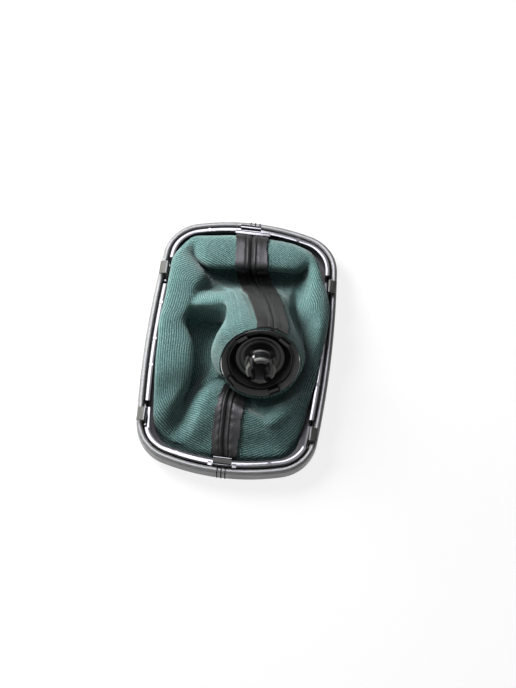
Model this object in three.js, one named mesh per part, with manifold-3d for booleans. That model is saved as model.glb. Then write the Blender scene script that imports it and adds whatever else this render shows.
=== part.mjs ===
// A gear lever gaiter, lying on its visible face with the underside up and the bag pushed up
// through its frame. Millimetres. +Z is up (the underside of the part), +Y is the front end of
// the frame, +X is its right side as seen from above. The table is z = 0.
import * as THREE from 'three';
import { mergeVertices } from 'three/addons/utils/BufferGeometryUtils.js';
import Module from 'manifold-3d';

// Driving dimensions.
const FRAME_W = 110;
const FRAME_L = 162;
const CORNER_R = 24.6;
const SIDE_BOW_R = 605;
const END_BOW_R = 130;
const SHEET_T = 1.1;
const GAP = 0.25;
const WALL = 1.0;
const FACE_T = 1.8;
const RIM_H = 9.1;
const FLANGE_END = 10.9;
const LEDGE_OUT = 3.95;
const LEDGE_IN = 7.15;
const LEDGE_Z = 11.3;
const LEDGE_T = 1.4;
const RIB_T = 1.2;
const RIB_Z = 3.4;
const CLIP_LEN = 8.0;
const SEAT_O = 13.2;
const SEAM_REAR = 7.8;
const SEAM_FRONT = 9.0;
const SEAM_GAP = 0.3;
const COLLAR_AT = [14.9, -19.3, 30];
const COLLAR_TILT = 54.5;
const COLLAR_TURN = 8;
const COLLAR_R = 22.4;
const RING_WALL = 1.3;
const BORE_R = 5.5;
const SLEEVE_WALL = 2.0;

// The sheet's middle surface round the collar, and how far under the collar's top it is bent out.
const NECK_R = COLLAR_R + GAP + SHEET_T / 2;
const LIP_Z = -6.5;

// Half sizes of the opening and the height of the ledge: the folds are placed as shares of these.
const OPEN_X = FRAME_W / 2 - 11.2;
const OPEN_Y = FRAME_L / 2 - 11.2;

// The bag's folds. "at" says where a fold lies round the frame, in sixteenths of the way from the
// rear seam, counter-clockwise from above, and "seat" is the height where the sheet leaves the
// frame. The lip is how wide the bag is just under the collar, and the neck is a turn in degrees,
// a radius and a height, both in the collar's own frame. The rows are outer flank, crest, inner
// flank, valley and rise, as shares of the opening and the ledge.
const FOLDS = [
  { at: 0, seat: 3.2, lip: 23.9, neck: [11, 27.2, -14.5],
    rows: [[-0.05, -0.86, 0.58], [-0.07, -0.71, 0.88], [-0.07, -0.57, 1.15],
      [-0.05, -0.47, 0.93], [-0.03, -0.37, 0.4]] },
  { at: 1, seat: 3, lip: 23.9, neck: [12, 26.5, -10.8],
    rows: [[0.53, -0.83, 0.4], [0.48, -0.73, 0.75], [0.42, -0.66, 0.88],
      [0.36, -0.55, 0.4], [0.32, -0.44, 0.19]] },
  { at: 1.6, seat: 3, lip: 23.9, neck: [10, 26.7, -9.7],
    rows: [[0.76, -0.82, 0.44], [0.65, -0.73, 0.75], [0.56, -0.68, 1.02],
      [0.52, -0.55, 0.44], [0.47, -0.45, 0.22]] },
  { at: 2, seat: 3, lip: 23.9, neck: [12, 26.5, -10.3],
    rows: [[0.9, -0.77, 0.49], [0.81, -0.67, 0.84], [0.73, -0.58, 1.11],
      [0.66, -0.5, 0.71], [0.59, -0.42, 0.27]] },
  { at: 3, seat: 4, lip: 23.9, neck: [7, 25.6, -12.7],
    rows: [[1.02, -0.44, 0.8], [1.02, -0.39, 1.19], [0.93, -0.36, 1.19],
      [0.83, -0.32, 0.71], [0.77, -0.29, 0.35]] },
  { at: 4, seat: 4.5, lip: 24.4, neck: [2, 25.4, -16.7],
    rows: [[1.06, -0.08, 1.06], [1.1, -0.08, 1.37], [1.01, -0.13, 1.42],
      [0.93, -0.15, 1.06], [0.87, -0.15, 0.62]] },
  { at: 5, seat: 5, lip: 25.3, neck: [5, 25.2, -20.4],
    rows: [[1.05, 0.29, 1.08], [1.15, 0.29, 1.59], [1.06, 0.23, 1.86],
      [0.93, 0.19, 1.42], [0.85, 0.14, 0.88]] },
  { at: 6, seat: 5, lip: 25, neck: [6, 21.4, -31],
    rows: [[0.98, 0.64, 1.09], [1.02, 0.62, 1.5], [0.91, 0.5, 1.64],
      [0.77, 0.41, 1.28], [0.69, 0.33, 0.93]] },
  { at: 6.5, seat: 5.2, lip: 24.6, neck: [6, 22.9, -36.2],
    rows: [[0.84, 0.89, 1.09], [0.86, 0.83, 1.55], [0.78, 0.68, 1.5],
      [0.69, 0.63, 0.84], [0.58, 0.54, 0.66]] },
  { at: 7, seat: 5.5, lip: 24.2, neck: [5, 23.5, -39.8],
    rows: [[0.61, 0.96, 1.06], [0.61, 0.89, 1.5], [0.63, 0.72, 1.35],
      [0.59, 0.71, 0.62], [0.5, 0.62, 0.49]] },
  { at: 8, seat: 6, lip: 24, neck: [7, 21.5, -36.5],
    rows: [[-0.01, 1, 1.06], [-0.01, 0.93, 1.5], [0.02, 0.72, 1.33],
      [0.01, 0.74, 0.58], [0.09, 0.62, 0.44]] },
  { at: 9, seat: 6, lip: 24.8, neck: [15, 26.2, -33.3],
    rows: [[-0.63, 0.96, 1.06], [-0.62, 0.89, 1.5], [-0.53, 0.69, 1.28],
      [-0.5, 0.7, 0.58], [-0.27, 0.58, 0.53]] },
  { at: 9.55, seat: 6, lip: 25.3, neck: [11, 28.6, -34.9],
    rows: [[-0.86, 0.91, 1.06], [-0.83, 0.86, 1.28], [-0.76, 0.74, 1.02],
      [-0.64, 0.67, 0.66], [-0.4, 0.57, 0.62]] },
  { at: 10, seat: 6, lip: 25.6, neck: [8, 29.6, -37.6],
    rows: [[-1, 0.78, 1.15], [-0.98, 0.69, 1.68], [-0.61, 0.56, 1.59],
      [-0.53, 0.55, 0.84], [-0.35, 0.52, 0.71]] },
  { at: 10.45, seat: 6, lip: 25.8, neck: [4, 31.6, -34.9],
    rows: [[-1.04, 0.58, 1.15], [-1.01, 0.55, 1.68], [-0.73, 0.41, 1.81],
      [-0.62, 0.36, 1.68], [-0.45, 0.36, 1.99]] },
  { at: 11.1, seat: 6, lip: 26, neck: [-2, 29.8, -29.9],
    rows: [[-1.05, 0.32, 1.15], [-1.04, 0.31, 1.68], [-0.77, 0.29, 1.81],
      [-0.68, 0.27, 1.77], [-0.49, 0.25, 2.26]] },
  { at: 11.4, seat: 6, lip: 26, neck: [-1, 26.8, -28.8],
    rows: [[-1.06, 0.21, 1.15], [-1.04, 0.2, 1.68], [-0.78, 0.19, 1.73],
      [-0.69, 0.22, 1.55], [-0.49, 0.22, 1.81]] },
  { at: 11.65, seat: 6, lip: 26, neck: [14, 22.5, -29.4],
    rows: [[-1.06, 0.11, 1.15], [-1.05, 0.13, 1.68], [-0.79, 0.13, 1.59],
      [-0.75, 0.13, 0.97], [-0.5, 0.16, 0.97]] },
  { at: 12.4, seat: 6, lip: 26, neck: [21, 24.8, -21.3],
    rows: [[-1.05, -0.17, 1.15], [-1.04, -0.14, 1.55], [-0.61, -0.07, 1.37],
      [-0.64, -0.08, 0.58], [-0.43, -0.04, 0.44]] },
  { at: 13, seat: 5, lip: 25.8, neck: [29, 27.6, -17.5],
    rows: [[-1.04, -0.42, 1.06], [-1.01, -0.37, 1.37], [-0.58, -0.25, 1.19],
      [-0.62, -0.27, 0.4], [-0.42, -0.21, 0.35]] },
  { at: 13.6, seat: 4.5, lip: 25, neck: [27, 28.8, -14.1],
    rows: [[-1.03, -0.63, 0.88], [-0.96, -0.55, 1.06], [-0.64, -0.44, 0.93],
      [-0.59, -0.42, 0.44], [-0.43, -0.35, 0.62]] },
  { at: 14, seat: 3.5, lip: 24.4, neck: [25, 28.9, -13.9],
    rows: [[-0.99, -0.78, 0.71], [-0.84, -0.66, 0.93], [-0.68, -0.54, 0.62],
      [-0.6, -0.47, 0.53], [-0.38, -0.39, 0.84]] },
  { at: 14.5, seat: 3.2, lip: 24.1, neck: [21, 28.5, -14.5],
    rows: [[-0.83, -0.89, 0.53], [-0.72, -0.78, 0.66], [-0.58, -0.67, 0.49],
      [-0.44, -0.56, 0.84], [-0.32, -0.43, 0.88]] },
  { at: 15, seat: 3, lip: 23.9, neck: [18, 27.9, -14.9],
    rows: [[-0.63, -0.9, 0.4], [-0.53, -0.76, 0.62], [-0.4, -0.64, 0.93],
      [-0.29, -0.5, 1.02], [-0.2, -0.38, 0.71]] },
];
const ROUND = 16;
// Where the two seams meet the collar, in degrees round its axis.
const REAR_ANGLE = -133;
const FRONT_ANGLE = 73;

const wasm = await Module();
wasm.setup();

// The frame's outline: two side bows, two end bows and four corners, all true arcs, so that
// any offset keeps the same centres.
const sideC = [FRAME_W / 2 - SIDE_BOW_R, 0];
const endC = [0, FRAME_L / 2 - END_BOW_R];
function cornerCentre() {
  const ra = SIDE_BOW_R - CORNER_R;
  const rb = END_BOW_R - CORNER_R;
  const dx = endC[0] - sideC[0];
  const dy = endC[1] - sideC[1];
  const d = Math.hypot(dx, dy);
  const a = (ra * ra - rb * rb + d * d) / (2 * d);
  const h = Math.sqrt(ra * ra - a * a);
  return [sideC[0] + (a * dx - h * dy) / d, sideC[1] + (a * dy + h * dx) / d];
}
const corC = cornerCentre();
const sideAng = Math.atan2(corC[1] - sideC[1], corC[0] - sideC[0]);
const endAng = Math.atan2(corC[1] - endC[1], corC[0] - endC[0]);

// One quadrant from the middle of an end to the middle of a side, as arc pieces.
function quadrant(strip) {
  const half = Math.PI / 2;
  const w = strip / END_BOW_R;
  const rest = half - w - endAng;
  const list = [];
  for (const t of [0, w / 2, w, w + rest / 2]) list.push([endC, half - t, END_BOW_R]);
  for (let i = 0; i < 5; i++) {
    list.push([corC, endAng + (sideAng - endAng) * i / 5, CORNER_R]);
  }
  for (let i = 0; i < 5; i++) list.push([sideC, sideAng * (1 - i / 5), SIDE_BOW_R]);
  return list;
}
// Samples all the way round from the middle of the rear end, counter-clockwise.
function aroundFrame() {
  const rear = quadrant(SEAM_REAR);
  const front = quadrant(SEAM_FRONT);
  const mid = [sideC, 0, SIDE_BOW_R];
  const out = [];
  const put = (s, sx, sy) => {
    const [c, a, r] = s;
    out.push({ c: [c[0] * sx, c[1] * sy], n: [Math.cos(a) * sx, Math.sin(a) * sy], r });
  };
  rear.forEach((s) => put(s, 1, -1));
  put(mid, 1, 1);
  front.slice(1).reverse().forEach((s) => put(s, 1, 1));
  front.forEach((s) => put(s, -1, 1));
  put(mid, -1, 1);
  rear.slice(1).reverse().forEach((s) => put(s, -1, -1));
  return out;
}
const RIM = aroundFrame();
const HALF = RIM.length / 2;
function rimPoint(i, o, z) {
  const s = RIM[(i + RIM.length) % RIM.length];
  return [s.c[0] + s.n[0] * (s.r - o), s.c[1] + s.n[1] * (s.r - o), z];
}
// Where each sample lies round the rim, counted in stations of the fold table.
function rimStations() {
  const run = [0];
  for (let i = 1; i <= RIM.length; i++) {
    const a = rimPoint(i - 1, 0, 0);
    const b = rimPoint(i, 0, 0);
    run.push(run[i - 1] + Math.hypot(a[0] - b[0], a[1] - b[1]));
  }
  return run.map((s) => ROUND * s / run[RIM.length]);
}
const STATION = rimStations();

function meshGeometry(pos, idx) {
  const g = new THREE.BufferGeometry();
  g.setAttribute('position', new THREE.Float32BufferAttribute(pos, 3));
  g.setIndex(idx);
  return g;
}
function toSolid(geometry) {
  const g = geometry.clone();
  g.deleteAttribute('normal');
  g.deleteAttribute('uv');
  const m = mergeVertices(g, 1e-4);
  return new wasm.Manifold(new wasm.Mesh({
    numProp: 3,
    vertProperties: new Float32Array(m.attributes.position.array),
    triVerts: new Uint32Array(m.index.array),
  }));
}
function fromSolid(solid) {
  const m = solid.getMesh();
  return meshGeometry(Array.from(m.vertProperties), Array.from(m.triVerts));
}
// A closed section given as inward offset and height, swept round the frame.
function ringSweep(section) {
  const pos = [];
  const idx = [];
  const n = section.length;
  const m = RIM.length;
  for (let i = 0; i < m; i++) {
    for (const [o, z] of section) pos.push(...rimPoint(i, o, z));
  }
  for (let i = 0; i < m; i++) {
    for (let k = 0; k < n; k++) {
      const a = i * n + k;
      const b = ((i + 1) % m) * n + k;
      const c = ((i + 1) % m) * n + (k + 1) % n;
      const d = i * n + (k + 1) % n;
      idx.push(a, b, c, a, c, d);
    }
  }
  return facingOut(pos, idx);
}
function facingOut(pos, idx) {
  let v = 0;
  const p = (i) => new THREE.Vector3(pos[3 * i], pos[3 * i + 1], pos[3 * i + 2]);
  for (let i = 0; i < idx.length; i += 3) {
    v += p(idx[i]).dot(p(idx[i + 1]).cross(p(idx[i + 2])));
  }
  if (v < 0) {
    for (let i = 0; i < idx.length; i += 3) [idx[i], idx[i + 1]] = [idx[i + 1], idx[i]];
  }
  return meshGeometry(pos, idx);
}
// A straight bar along y with a section in x and z.
function barAlongY(section, y0, y1) {
  const pos = [];
  const idx = [];
  const flat = section.map(([x, z]) => new THREE.Vector2(x, z));
  if (THREE.ShapeUtils.isClockWise(flat)) flat.reverse();
  const n = flat.length;
  for (const y of [y0, y1]) for (const p of flat) pos.push(p.x, y, p.y);
  for (let k = 0; k < n; k++) {
    const b = (k + 1) % n;
    idx.push(b, k, n + k, b, n + k, n + b);
  }
  for (const [a, b, c] of THREE.ShapeUtils.triangulateShape(flat, [])) {
    idx.push(a, b, c);
    idx.push(n + a, n + c, n + b);
  }
  return facingOut(pos, idx);
}
function barAlongX(section, x0, x1) {
  const g = barAlongY(section, -x1, -x0);
  g.rotateZ(-Math.PI / 2);
  return g;
}
function block(x0, x1, y0, y1, z0, z1) {
  const g = new THREE.BoxGeometry(x1 - x0, y1 - y0, z1 - z0);
  g.translate((x0 + x1) / 2, (y0 + y1) / 2, (z0 + z1) / 2);
  return toSolid(g);
}
function disc(x, y, z0, z1, r) {
  const g = new THREE.CylinderGeometry(r, r, z1 - z0, 10);
  g.rotateX(Math.PI / 2);
  g.translate(x, y, (z0 + z1) / 2);
  return toSolid(g);
}

// The plastic carrier: the upright rim wall and the flat face behind the leather.
const wallIn = SHEET_T + GAP + WALL;
const faceZ = SHEET_T + GAP;
const carrier = ringSweep([
  [wallIn, faceZ], [SHEET_T + GAP, faceZ + WALL], [SHEET_T + GAP, RIM_H], [wallIn, RIM_H],
  [wallIn, faceZ + FACE_T], [FLANGE_END, faceZ + FACE_T], [FLANGE_END, faceZ],
]);

// The clamp ring: an upside-down trough with four side clips, a rear tongue and a front hook.
const ribTop = LEDGE_Z - LEDGE_T;
const trough = [
  [LEDGE_OUT, RIB_Z], [LEDGE_OUT, LEDGE_Z], [LEDGE_IN, LEDGE_Z], [LEDGE_IN, RIB_Z],
  [LEDGE_IN - RIB_T, RIB_Z], [LEDGE_IN - RIB_T, ribTop],
  [LEDGE_OUT + RIB_T, ribTop], [LEDGE_OUT + RIB_T, RIB_Z],
];
function sideX(y) {
  return sideC[0] + Math.sqrt(SIDE_BOW_R * SIDE_BOW_R - y * y);
}
function endY(x) {
  return endC[1] + Math.sqrt(END_BOW_R * END_BOW_R - x * x);
}
// Where each clip stands along the side, and how far its slot runs to the rear and the front.
const CLIPS = [
  { y: FRAME_L / 2 - 38.6, rear: 9.4, front: 8.6 },
  { y: 28.9 - FRAME_L / 2, rear: 6.9, front: 9.6 },
];
const SLOT_Z = 6;
const ABOVE = LEDGE_Z + 3;
// A clip's section, as inward offset and height: an upright with a hook over the beading.
const clipFoot = RIB_Z + 0.2;
const clipBack = LEDGE_OUT + 1.75;
const clipFront = LEDGE_OUT + 0.55;
const clipSection = [[clipBack, clipFoot], [clipBack, LEDGE_Z + 3], [clipBack - 0.6, LEDGE_Z + 3.9],
  [clipFront, LEDGE_Z + 3.9], [0.4, LEDGE_Z + 2.4], [0.4, LEDGE_Z + 1.4],
  [clipFront - 0.2, LEDGE_Z + 1], [clipFront, clipFoot]];
// Small nubs beside the two left clips, and weld spots along the ledge.
const NUB_W = 1.8;
const NUBS = [FRAME_L / 2 - 46, 23.4 - FRAME_L / 2];
const WELD_R = 1.3;
const WELD_X = [28 - FRAME_W / 2, FRAME_W / 2 - 28];
const WELD_Y = [FRAME_L / 2 - 60.4, -3, 61 - FRAME_L / 2];
const WELD_H = 0.3;
// Half width of the rear tongue and width of the notch on each side of it.
const TONGUE_W = 5.3;
const NOTCH_W = 2.3;
function clampRing() {
  let s = toSolid(ringSweep(trough));
  for (const side of [1, -1]) {
    for (const c of CLIPS) {
      const x = sideX(c.y) * side;
      const inner = x - side * (LEDGE_IN + 2.35);
      const outer = x - side * (LEDGE_OUT - 1.35);
      s = s.subtract(block(Math.min(inner, outer), Math.max(inner, outer), c.y - c.rear,
        c.y + c.front, SLOT_Z, ABOVE));
      const sec = clipSection.map(([o, z]) => [x - side * o, z]);
      s = s.add(toSolid(barAlongY(sec, c.y - CLIP_LEN / 2, c.y + CLIP_LEN / 2)));
    }
  }
  for (const y of NUBS) {
    const x = -sideX(y) + LEDGE_OUT + 0.45;
    s = s.add(block(x, x + NUB_W, y - NUB_W / 2, y + NUB_W / 2, SLOT_Z - 0.5, LEDGE_Z + 0.7));
  }
  // Rear tongue.
  const yr = -endY(0);
  const tongueIn = yr + LEDGE_IN + 1.25;
  const tongueOut = yr + LEDGE_OUT + 1.05;
  const tongue = [[tongueIn, ribTop], [tongueIn, LEDGE_Z + 3.7], [tongueIn - 0.8, LEDGE_Z + 3.9],
    [tongueOut + 0.2, LEDGE_Z + 1.9], [tongueOut, ribTop]];
  s = s.add(toSolid(barAlongX(tongue, -TONGUE_W, TONGUE_W)));
  for (const side of [1, -1]) {
    const near = side * (TONGUE_W + 0.6);
    const far = side * (TONGUE_W + 0.6 + NOTCH_W);
    s = s.subtract(block(Math.min(near, far), Math.max(near, far), yr + LEDGE_OUT - 1.95,
      yr + LEDGE_IN - 1.25, ribTop + 0.5, ABOVE));
  }
  // Front hook with its wider ledge.
  const yf = endY(0);
  const shelfIn = yf - LEDGE_IN - 1.55;
  const shelf = [[shelfIn, ribTop], [shelfIn, LEDGE_Z], [yf - LEDGE_IN + 0.75, LEDGE_Z],
    [yf - LEDGE_IN + 0.75, ribTop]];
  s = s.add(toSolid(barAlongX(shelf, -11.3, 9.7)));
  const hookIn = yf - LEDGE_OUT - 1.65;
  const hookOut = yf - LEDGE_OUT + 0.95;
  const hook = [[hookIn, LEDGE_Z - 0.7], [hookIn, LEDGE_Z + 2.1], [hookIn + 1, LEDGE_Z + 2.1],
    [hookOut, LEDGE_Z + 1.3], [hookOut, LEDGE_Z + 0.6], [hookIn + 1.3, LEDGE_Z + 0.4],
    [hookIn + 1.3, LEDGE_Z - 0.7]];
  s = s.add(toSolid(barAlongX(hook, -8.4, 3.8)));
  const mid = (LEDGE_OUT + LEDGE_IN) / 2;
  const weld = (x, y) => disc(x, y, LEDGE_Z - WELD_H, LEDGE_Z + WELD_H, WELD_R);
  for (const e of [-1, 1]) {
    for (const x of WELD_X) s = s.add(weld(x, e * (endY(x) - mid - 0.35)));
    for (const y of WELD_Y) s = s.add(weld(e * (sideX(y) - mid), y));
  }
  return fromSolid(s);
}

// The collar's own frame: +z is its axis, pointing out of the bag.
const collarTurn = new THREE.Matrix4().makeRotationZ(THREE.MathUtils.degToRad(COLLAR_TURN));
const collarPose = new THREE.Matrix4().makeTranslation(...COLLAR_AT).multiply(collarTurn)
  .multiply(new THREE.Matrix4().makeRotationX(THREE.MathUtils.degToRad(COLLAR_TILT)));
function collarPoint(deg, r, z) {
  const a = THREE.MathUtils.degToRad(deg);
  const p = new THREE.Vector3(r * Math.cos(a), r * Math.sin(a), z).applyMatrix4(collarPose);
  return [p.x, p.y, p.z];
}
// A closed profile of radius and height turned about the collar's axis.
function turned(profile, segments) {
  const pos = [];
  const idx = [];
  const n = profile.length;
  for (let i = 0; i < segments; i++) {
    const a = 2 * Math.PI * i / segments;
    for (const [r, z] of profile) pos.push(r * Math.cos(a), r * Math.sin(a), z);
  }
  for (let i = 0; i < segments; i++) {
    for (let k = 0; k < n; k++) {
      const a = i * n + k;
      const b = ((i + 1) % segments) * n + k;
      const c = ((i + 1) % segments) * n + (k + 1) % n;
      const d = i * n + (k + 1) % n;
      idx.push(a, b, c, a, c, d);
    }
  }
  return toSolid(facingOut(pos, idx));
}
function turnedBlock(deg, r0, r1, width, z0, z1) {
  return block(r0, r1, -width / 2, width / 2, z0, z1).rotate([0, 0, deg]);
}
// Radii of the ring's inside, the cup's wall and groove, its hub, and the sleeve in its hole.
const RING_IN = COLLAR_R - RING_WALL;
const WALL_R = COLLAR_R - 4.1;
const GROOVE_R = WALL_R - 1.1;
const SLEEVE_R = BORE_R + SLEEVE_WALL;
const HOLE_R = SLEEVE_R + 0.3;
const HUB_R = SLEEVE_R + 6.6;
const HUB_IN = SLEEVE_R + 5.4;
// Snap tabs of the cup, standing in notches of the ring.
const TABS = [{ deg: 46, w: 7.5 }, { deg: 122, w: 6.5 }, { deg: 215, w: 6.5 }, { deg: 293, w: 6.5 }];
const TAB_TOP = 0.7;
function collarRing() {
  const lip = COLLAR_R - 3.5;
  let s = turned([[COLLAR_R, -7], [COLLAR_R, -0.5], [COLLAR_R - 0.5, 0], [lip, -1.9],
    [lip, -3.3], [RING_IN, -1.9], [RING_IN, -7]], 56);
  for (const t of TABS) {
    s = s.subtract(turnedBlock(t.deg, lip - 1.5, RING_IN + 0.85, t.w + 0.8, -4, 2));
  }
  return fromSolid(s);
}
function collarCup() {
  const flange = RING_IN - 0.3;
  let s = turned([[WALL_R, -2.6], [WALL_R, -3.6], [flange, -3.6], [flange, -4.6],
    [WALL_R, -4.6], [WALL_R, -15.2], [HUB_IN, -15.2], [HUB_IN, -8.4], [HOLE_R, -8.4],
    [HOLE_R, -7], [HUB_IN - 1.5, -7], [HUB_IN - 1.5, -7.5], [HUB_IN - 1, -7.5],
    [HUB_IN - 1, -6.4], [HUB_R, -6.4], [HUB_R, -14], [GROOVE_R, -14], [GROOVE_R, -2.6]], 44);
  for (const t of TABS) {
    s = s.add(turnedBlock(t.deg, WALL_R + 0.1, RING_IN - 0.6, t.w, -4.2, TAB_TOP));
    s = s.add(turnedBlock(t.deg, RING_IN - 1.3, RING_IN + 0.4, t.w, -0.4, TAB_TOP));
  }
  return fromSolid(s);
}
// The sleeve's upper end is split into four jaws.
const JAW_SLOTS = [40, 130, 220, 308];
const JAW_SLOT_W = 3.4;
const SLEEVE_TOP = 8.5;
function leverSleeve() {
  const shoulder = SLEEVE_R + 1.7;
  const tip = SLEEVE_R + 1.2;
  let s = turned([[BORE_R, -13], [SLEEVE_R, -13], [SLEEVE_R, -6.75], [shoulder, -6.75],
    [shoulder, -0.9], [SLEEVE_R + 0.4, -0.9], [SLEEVE_R + 0.1, 5.3], [tip, 5.6], [tip, 7.2],
    [SLEEVE_R + 0.1, SLEEVE_TOP], [BORE_R, SLEEVE_TOP]], 40);
  for (const deg of JAW_SLOTS) {
    s = s.subtract(turnedBlock(deg, BORE_R - 2.5, tip + 3, JAW_SLOT_W, -3, SLEEVE_TOP + 4));
  }
  return fromSolid(s);
}

// The sheet, as one wrap round the carrier and one bag. A wrap row is an inward offset, a
// height and the direction of the textile side in that section.
const half = SHEET_T / 2;
function wrapRows() {
  const rows = [];
  const inX = wallIn + GAP + half;
  const beadR = (inX - half) / 2;
  const beadZ = 8.9;
  rows.push([inX, 4.5, -1, 0]);
  for (const a of [0, 60, 120, 180]) {
    const t = THREE.MathUtils.degToRad(a);
    rows.push([half + beadR + beadR * Math.cos(t), beadZ + beadR * Math.sin(t), -Math.cos(t),
      -Math.sin(t)]);
  }
  const bend = 2;
  for (const a of [0, 45, 90]) {
    const t = THREE.MathUtils.degToRad(a);
    rows.push([half + bend - bend * Math.cos(t), half + bend - bend * Math.sin(t), Math.cos(t),
      Math.sin(t)]);
  }
  rows.push([FLANGE_END + 0.3, half, 0, 1]);
  return rows;
}
const WRAP = wrapRows();

// A value of the folds, read anywhere round the frame on a smooth closed curve.
function roundRead(pick, u) {
  const n = FOLDS.length;
  const v = ((u % ROUND) + ROUND) % ROUND;
  let i = n - 1;
  while (FOLDS[i].at > v) i--;
  const value = (k) => pick(FOLDS[(i + k + n) % n]);
  const place = (k) => FOLDS[(i + k + n) % n].at + ROUND * Math.floor((i + k) / n);
  const h = [place(0) - place(-1), place(1) - place(0), place(2) - place(1)];
  const [p0, p1, p2, p3] = [value(-1), value(0), value(1), value(2)];
  const t = (v - place(0)) / h[1];
  return p1.map((_, k) => {
    const d = [(p1[k] - p0[k]) / h[0], (p2[k] - p1[k]) / h[1], (p3[k] - p2[k]) / h[2]];
    const m1 = h[1] * (h[1] * d[0] + h[0] * d[1]) / (h[0] + h[1]);
    const m2 = h[1] * (h[2] * d[1] + h[1] * d[2]) / (h[1] + h[2]);
    return hermite(p1[k], m1, p2[k], m2, t);
  });
}
function hermite(a, ma, b, mb, t) {
  const t2 = t * t;
  const t3 = t2 * t;
  return (2 * t3 - 3 * t2 + 1) * a + (t3 - 2 * t2 + t) * ma + (3 * t2 - 2 * t3) * b
    + (t3 - t2) * mb;
}
function collarAngle(u) {
  const v = ((u % ROUND) + ROUND) % ROUND;
  const front = ROUND / 2;
  if (v <= front) return REAR_ANGLE + (FRONT_ANGLE - REAR_ANGLE) * v / front;
  return FRONT_ANGLE + (360 + REAR_ANGLE - FRONT_ANGLE) * (v - front) / front;
}
function bagControl(row, u) {
  if (row < 5) {
    const [x, y, z] = roundRead((f) => f.rows[row], u);
    return [x * OPEN_X, y * OPEN_Y, z * LEDGE_Z];
  }
  if (row === 5) {
    const [turn, r, z] = roundRead((f) => f.neck, u);
    return collarPoint(collarAngle(u) + turn, r, z);
  }
  if (row === 6) {
    const [r] = roundRead((f) => [f.lip], u);
    return collarPoint(collarAngle(u), r, LIP_Z);
  }
  return collarPoint(collarAngle(u), NECK_R, -0.7);
}
function apart(a, b) {
  return Math.hypot(a[0] - b[0], a[1] - b[1], a[2] - b[2]);
}
// The seam strips keep their width in every row: stations near a seam are moved to suit.
function columnStations(row, cols) {
  const first = cols[0];
  const last = cols[cols.length - 1];
  const mid = (first + last) / 2;
  const share = (seam, dir, width) => {
    const step = 0.02;
    const speed = apart(bagControl(row, seam), bagControl(row, seam + dir * step)) / step;
    return Math.min(1.3, width / speed);
  };
  const w0 = share(first, 1, first % ROUND === 0 ? SEAM_REAR : SEAM_FRONT);
  const w1 = share(last, -1, last % ROUND === 0 ? SEAM_REAR : SEAM_FRONT);
  const a = cols[2] - first;
  const b = last - cols[cols.length - 3];
  return cols.map((u, j) => {
    if (j <= 2) return first + w0 * (u - first) / a;
    if (j >= cols.length - 3) return last - w1 * (last - u) / b;
    if (u < mid) return first + w0 + (mid - first - w0) * (u - first - a) / (mid - first - a);
    return last - w1 - (last - mid - w1) * (last - b - u) / (last - mid - b);
  });
}
const STEPS = [1, 3, 3, 3, 3, 3, 3, 3, 1, 1];
const RISE_ROW = 7;
function spline(points, span, t) {
  const n = points.length;
  const p1 = points[span];
  const p2 = points[span + 1];
  const p0 = span > 0 ? points[span - 1] : p1.map((v, k) => 2 * v - p2[k]);
  const p3 = span + 2 < n ? points[span + 2] : p2.map((v, k) => 2 * v - p1[k]);
  const k0 = Math.sqrt(Math.max(apart(p0, p1), 0.4));
  const k1 = Math.sqrt(Math.max(apart(p1, p2), 0.4));
  const k2 = Math.sqrt(Math.max(apart(p2, p3), 0.4));
  return p1.map((_, k) => {
    const m1 = k1 * ((p1[k] - p0[k]) / k0 - (p2[k] - p0[k]) / (k0 + k1) + (p2[k] - p1[k]) / k1);
    const m2 = k1 * ((p2[k] - p1[k]) / k1 - (p3[k] - p1[k]) / (k1 + k2) + (p3[k] - p2[k]) / k2);
    return hermite(p1[k], m1, p2[k], m2, t);
  });
}
function panelGrid(startIndex) {
  const cols = [];
  for (let j = 0; j <= HALF; j++) cols.push(STATION[startIndex + j]);
  const moved = [0, 1, 2, 3, 4, 5, 6, 7].map((row) => columnStations(row, cols));
  const grid = [];
  const side = [];
  for (let j = 0; j <= HALF; j++) {
    const i = startIndex + j;
    const line = WRAP.map(([o, z]) => rimPoint(i, o, z));
    const s = RIM[i % RIM.length];
    const dirs = WRAP.map((w) => [-s.n[0] * w[2], -s.n[1] * w[2], w[3]]);
    const seatZ = roundRead((f) => [f.seat], cols[j])[0];
    const pts = [rimPoint(i, FLANGE_END + 0.3, half), rimPoint(i, SEAT_O - 0.6, 1.9),
      rimPoint(i, SEAT_O + 0.3, seatZ)];
    for (let row = 0; row < 8; row++) pts.push(bagControl(row, moved[row][j]));
    STEPS.forEach((n, k) => {
      for (let q = 1; q <= n; q++) line.push(spline(pts, k, q / n));
    });
    grid.push(line);
    side.push(dirs);
  }
  return { grid, side, rearFirst: startIndex === 0 };
}
const sub = (a, b) => a.map((v, k) => v - b[k]);
const mixIn = (a, b, t) => a.map((v, k) => v + b[k] * t);
const crossOf = (a, b) => [a[1] * b[2] - a[2] * b[1], a[2] * b[0] - a[0] * b[2],
  a[0] * b[1] - a[1] * b[0]];
const unit = (a) => {
  const l = Math.hypot(...a) || 1;
  return a.map((v) => v / l);
};
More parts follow.
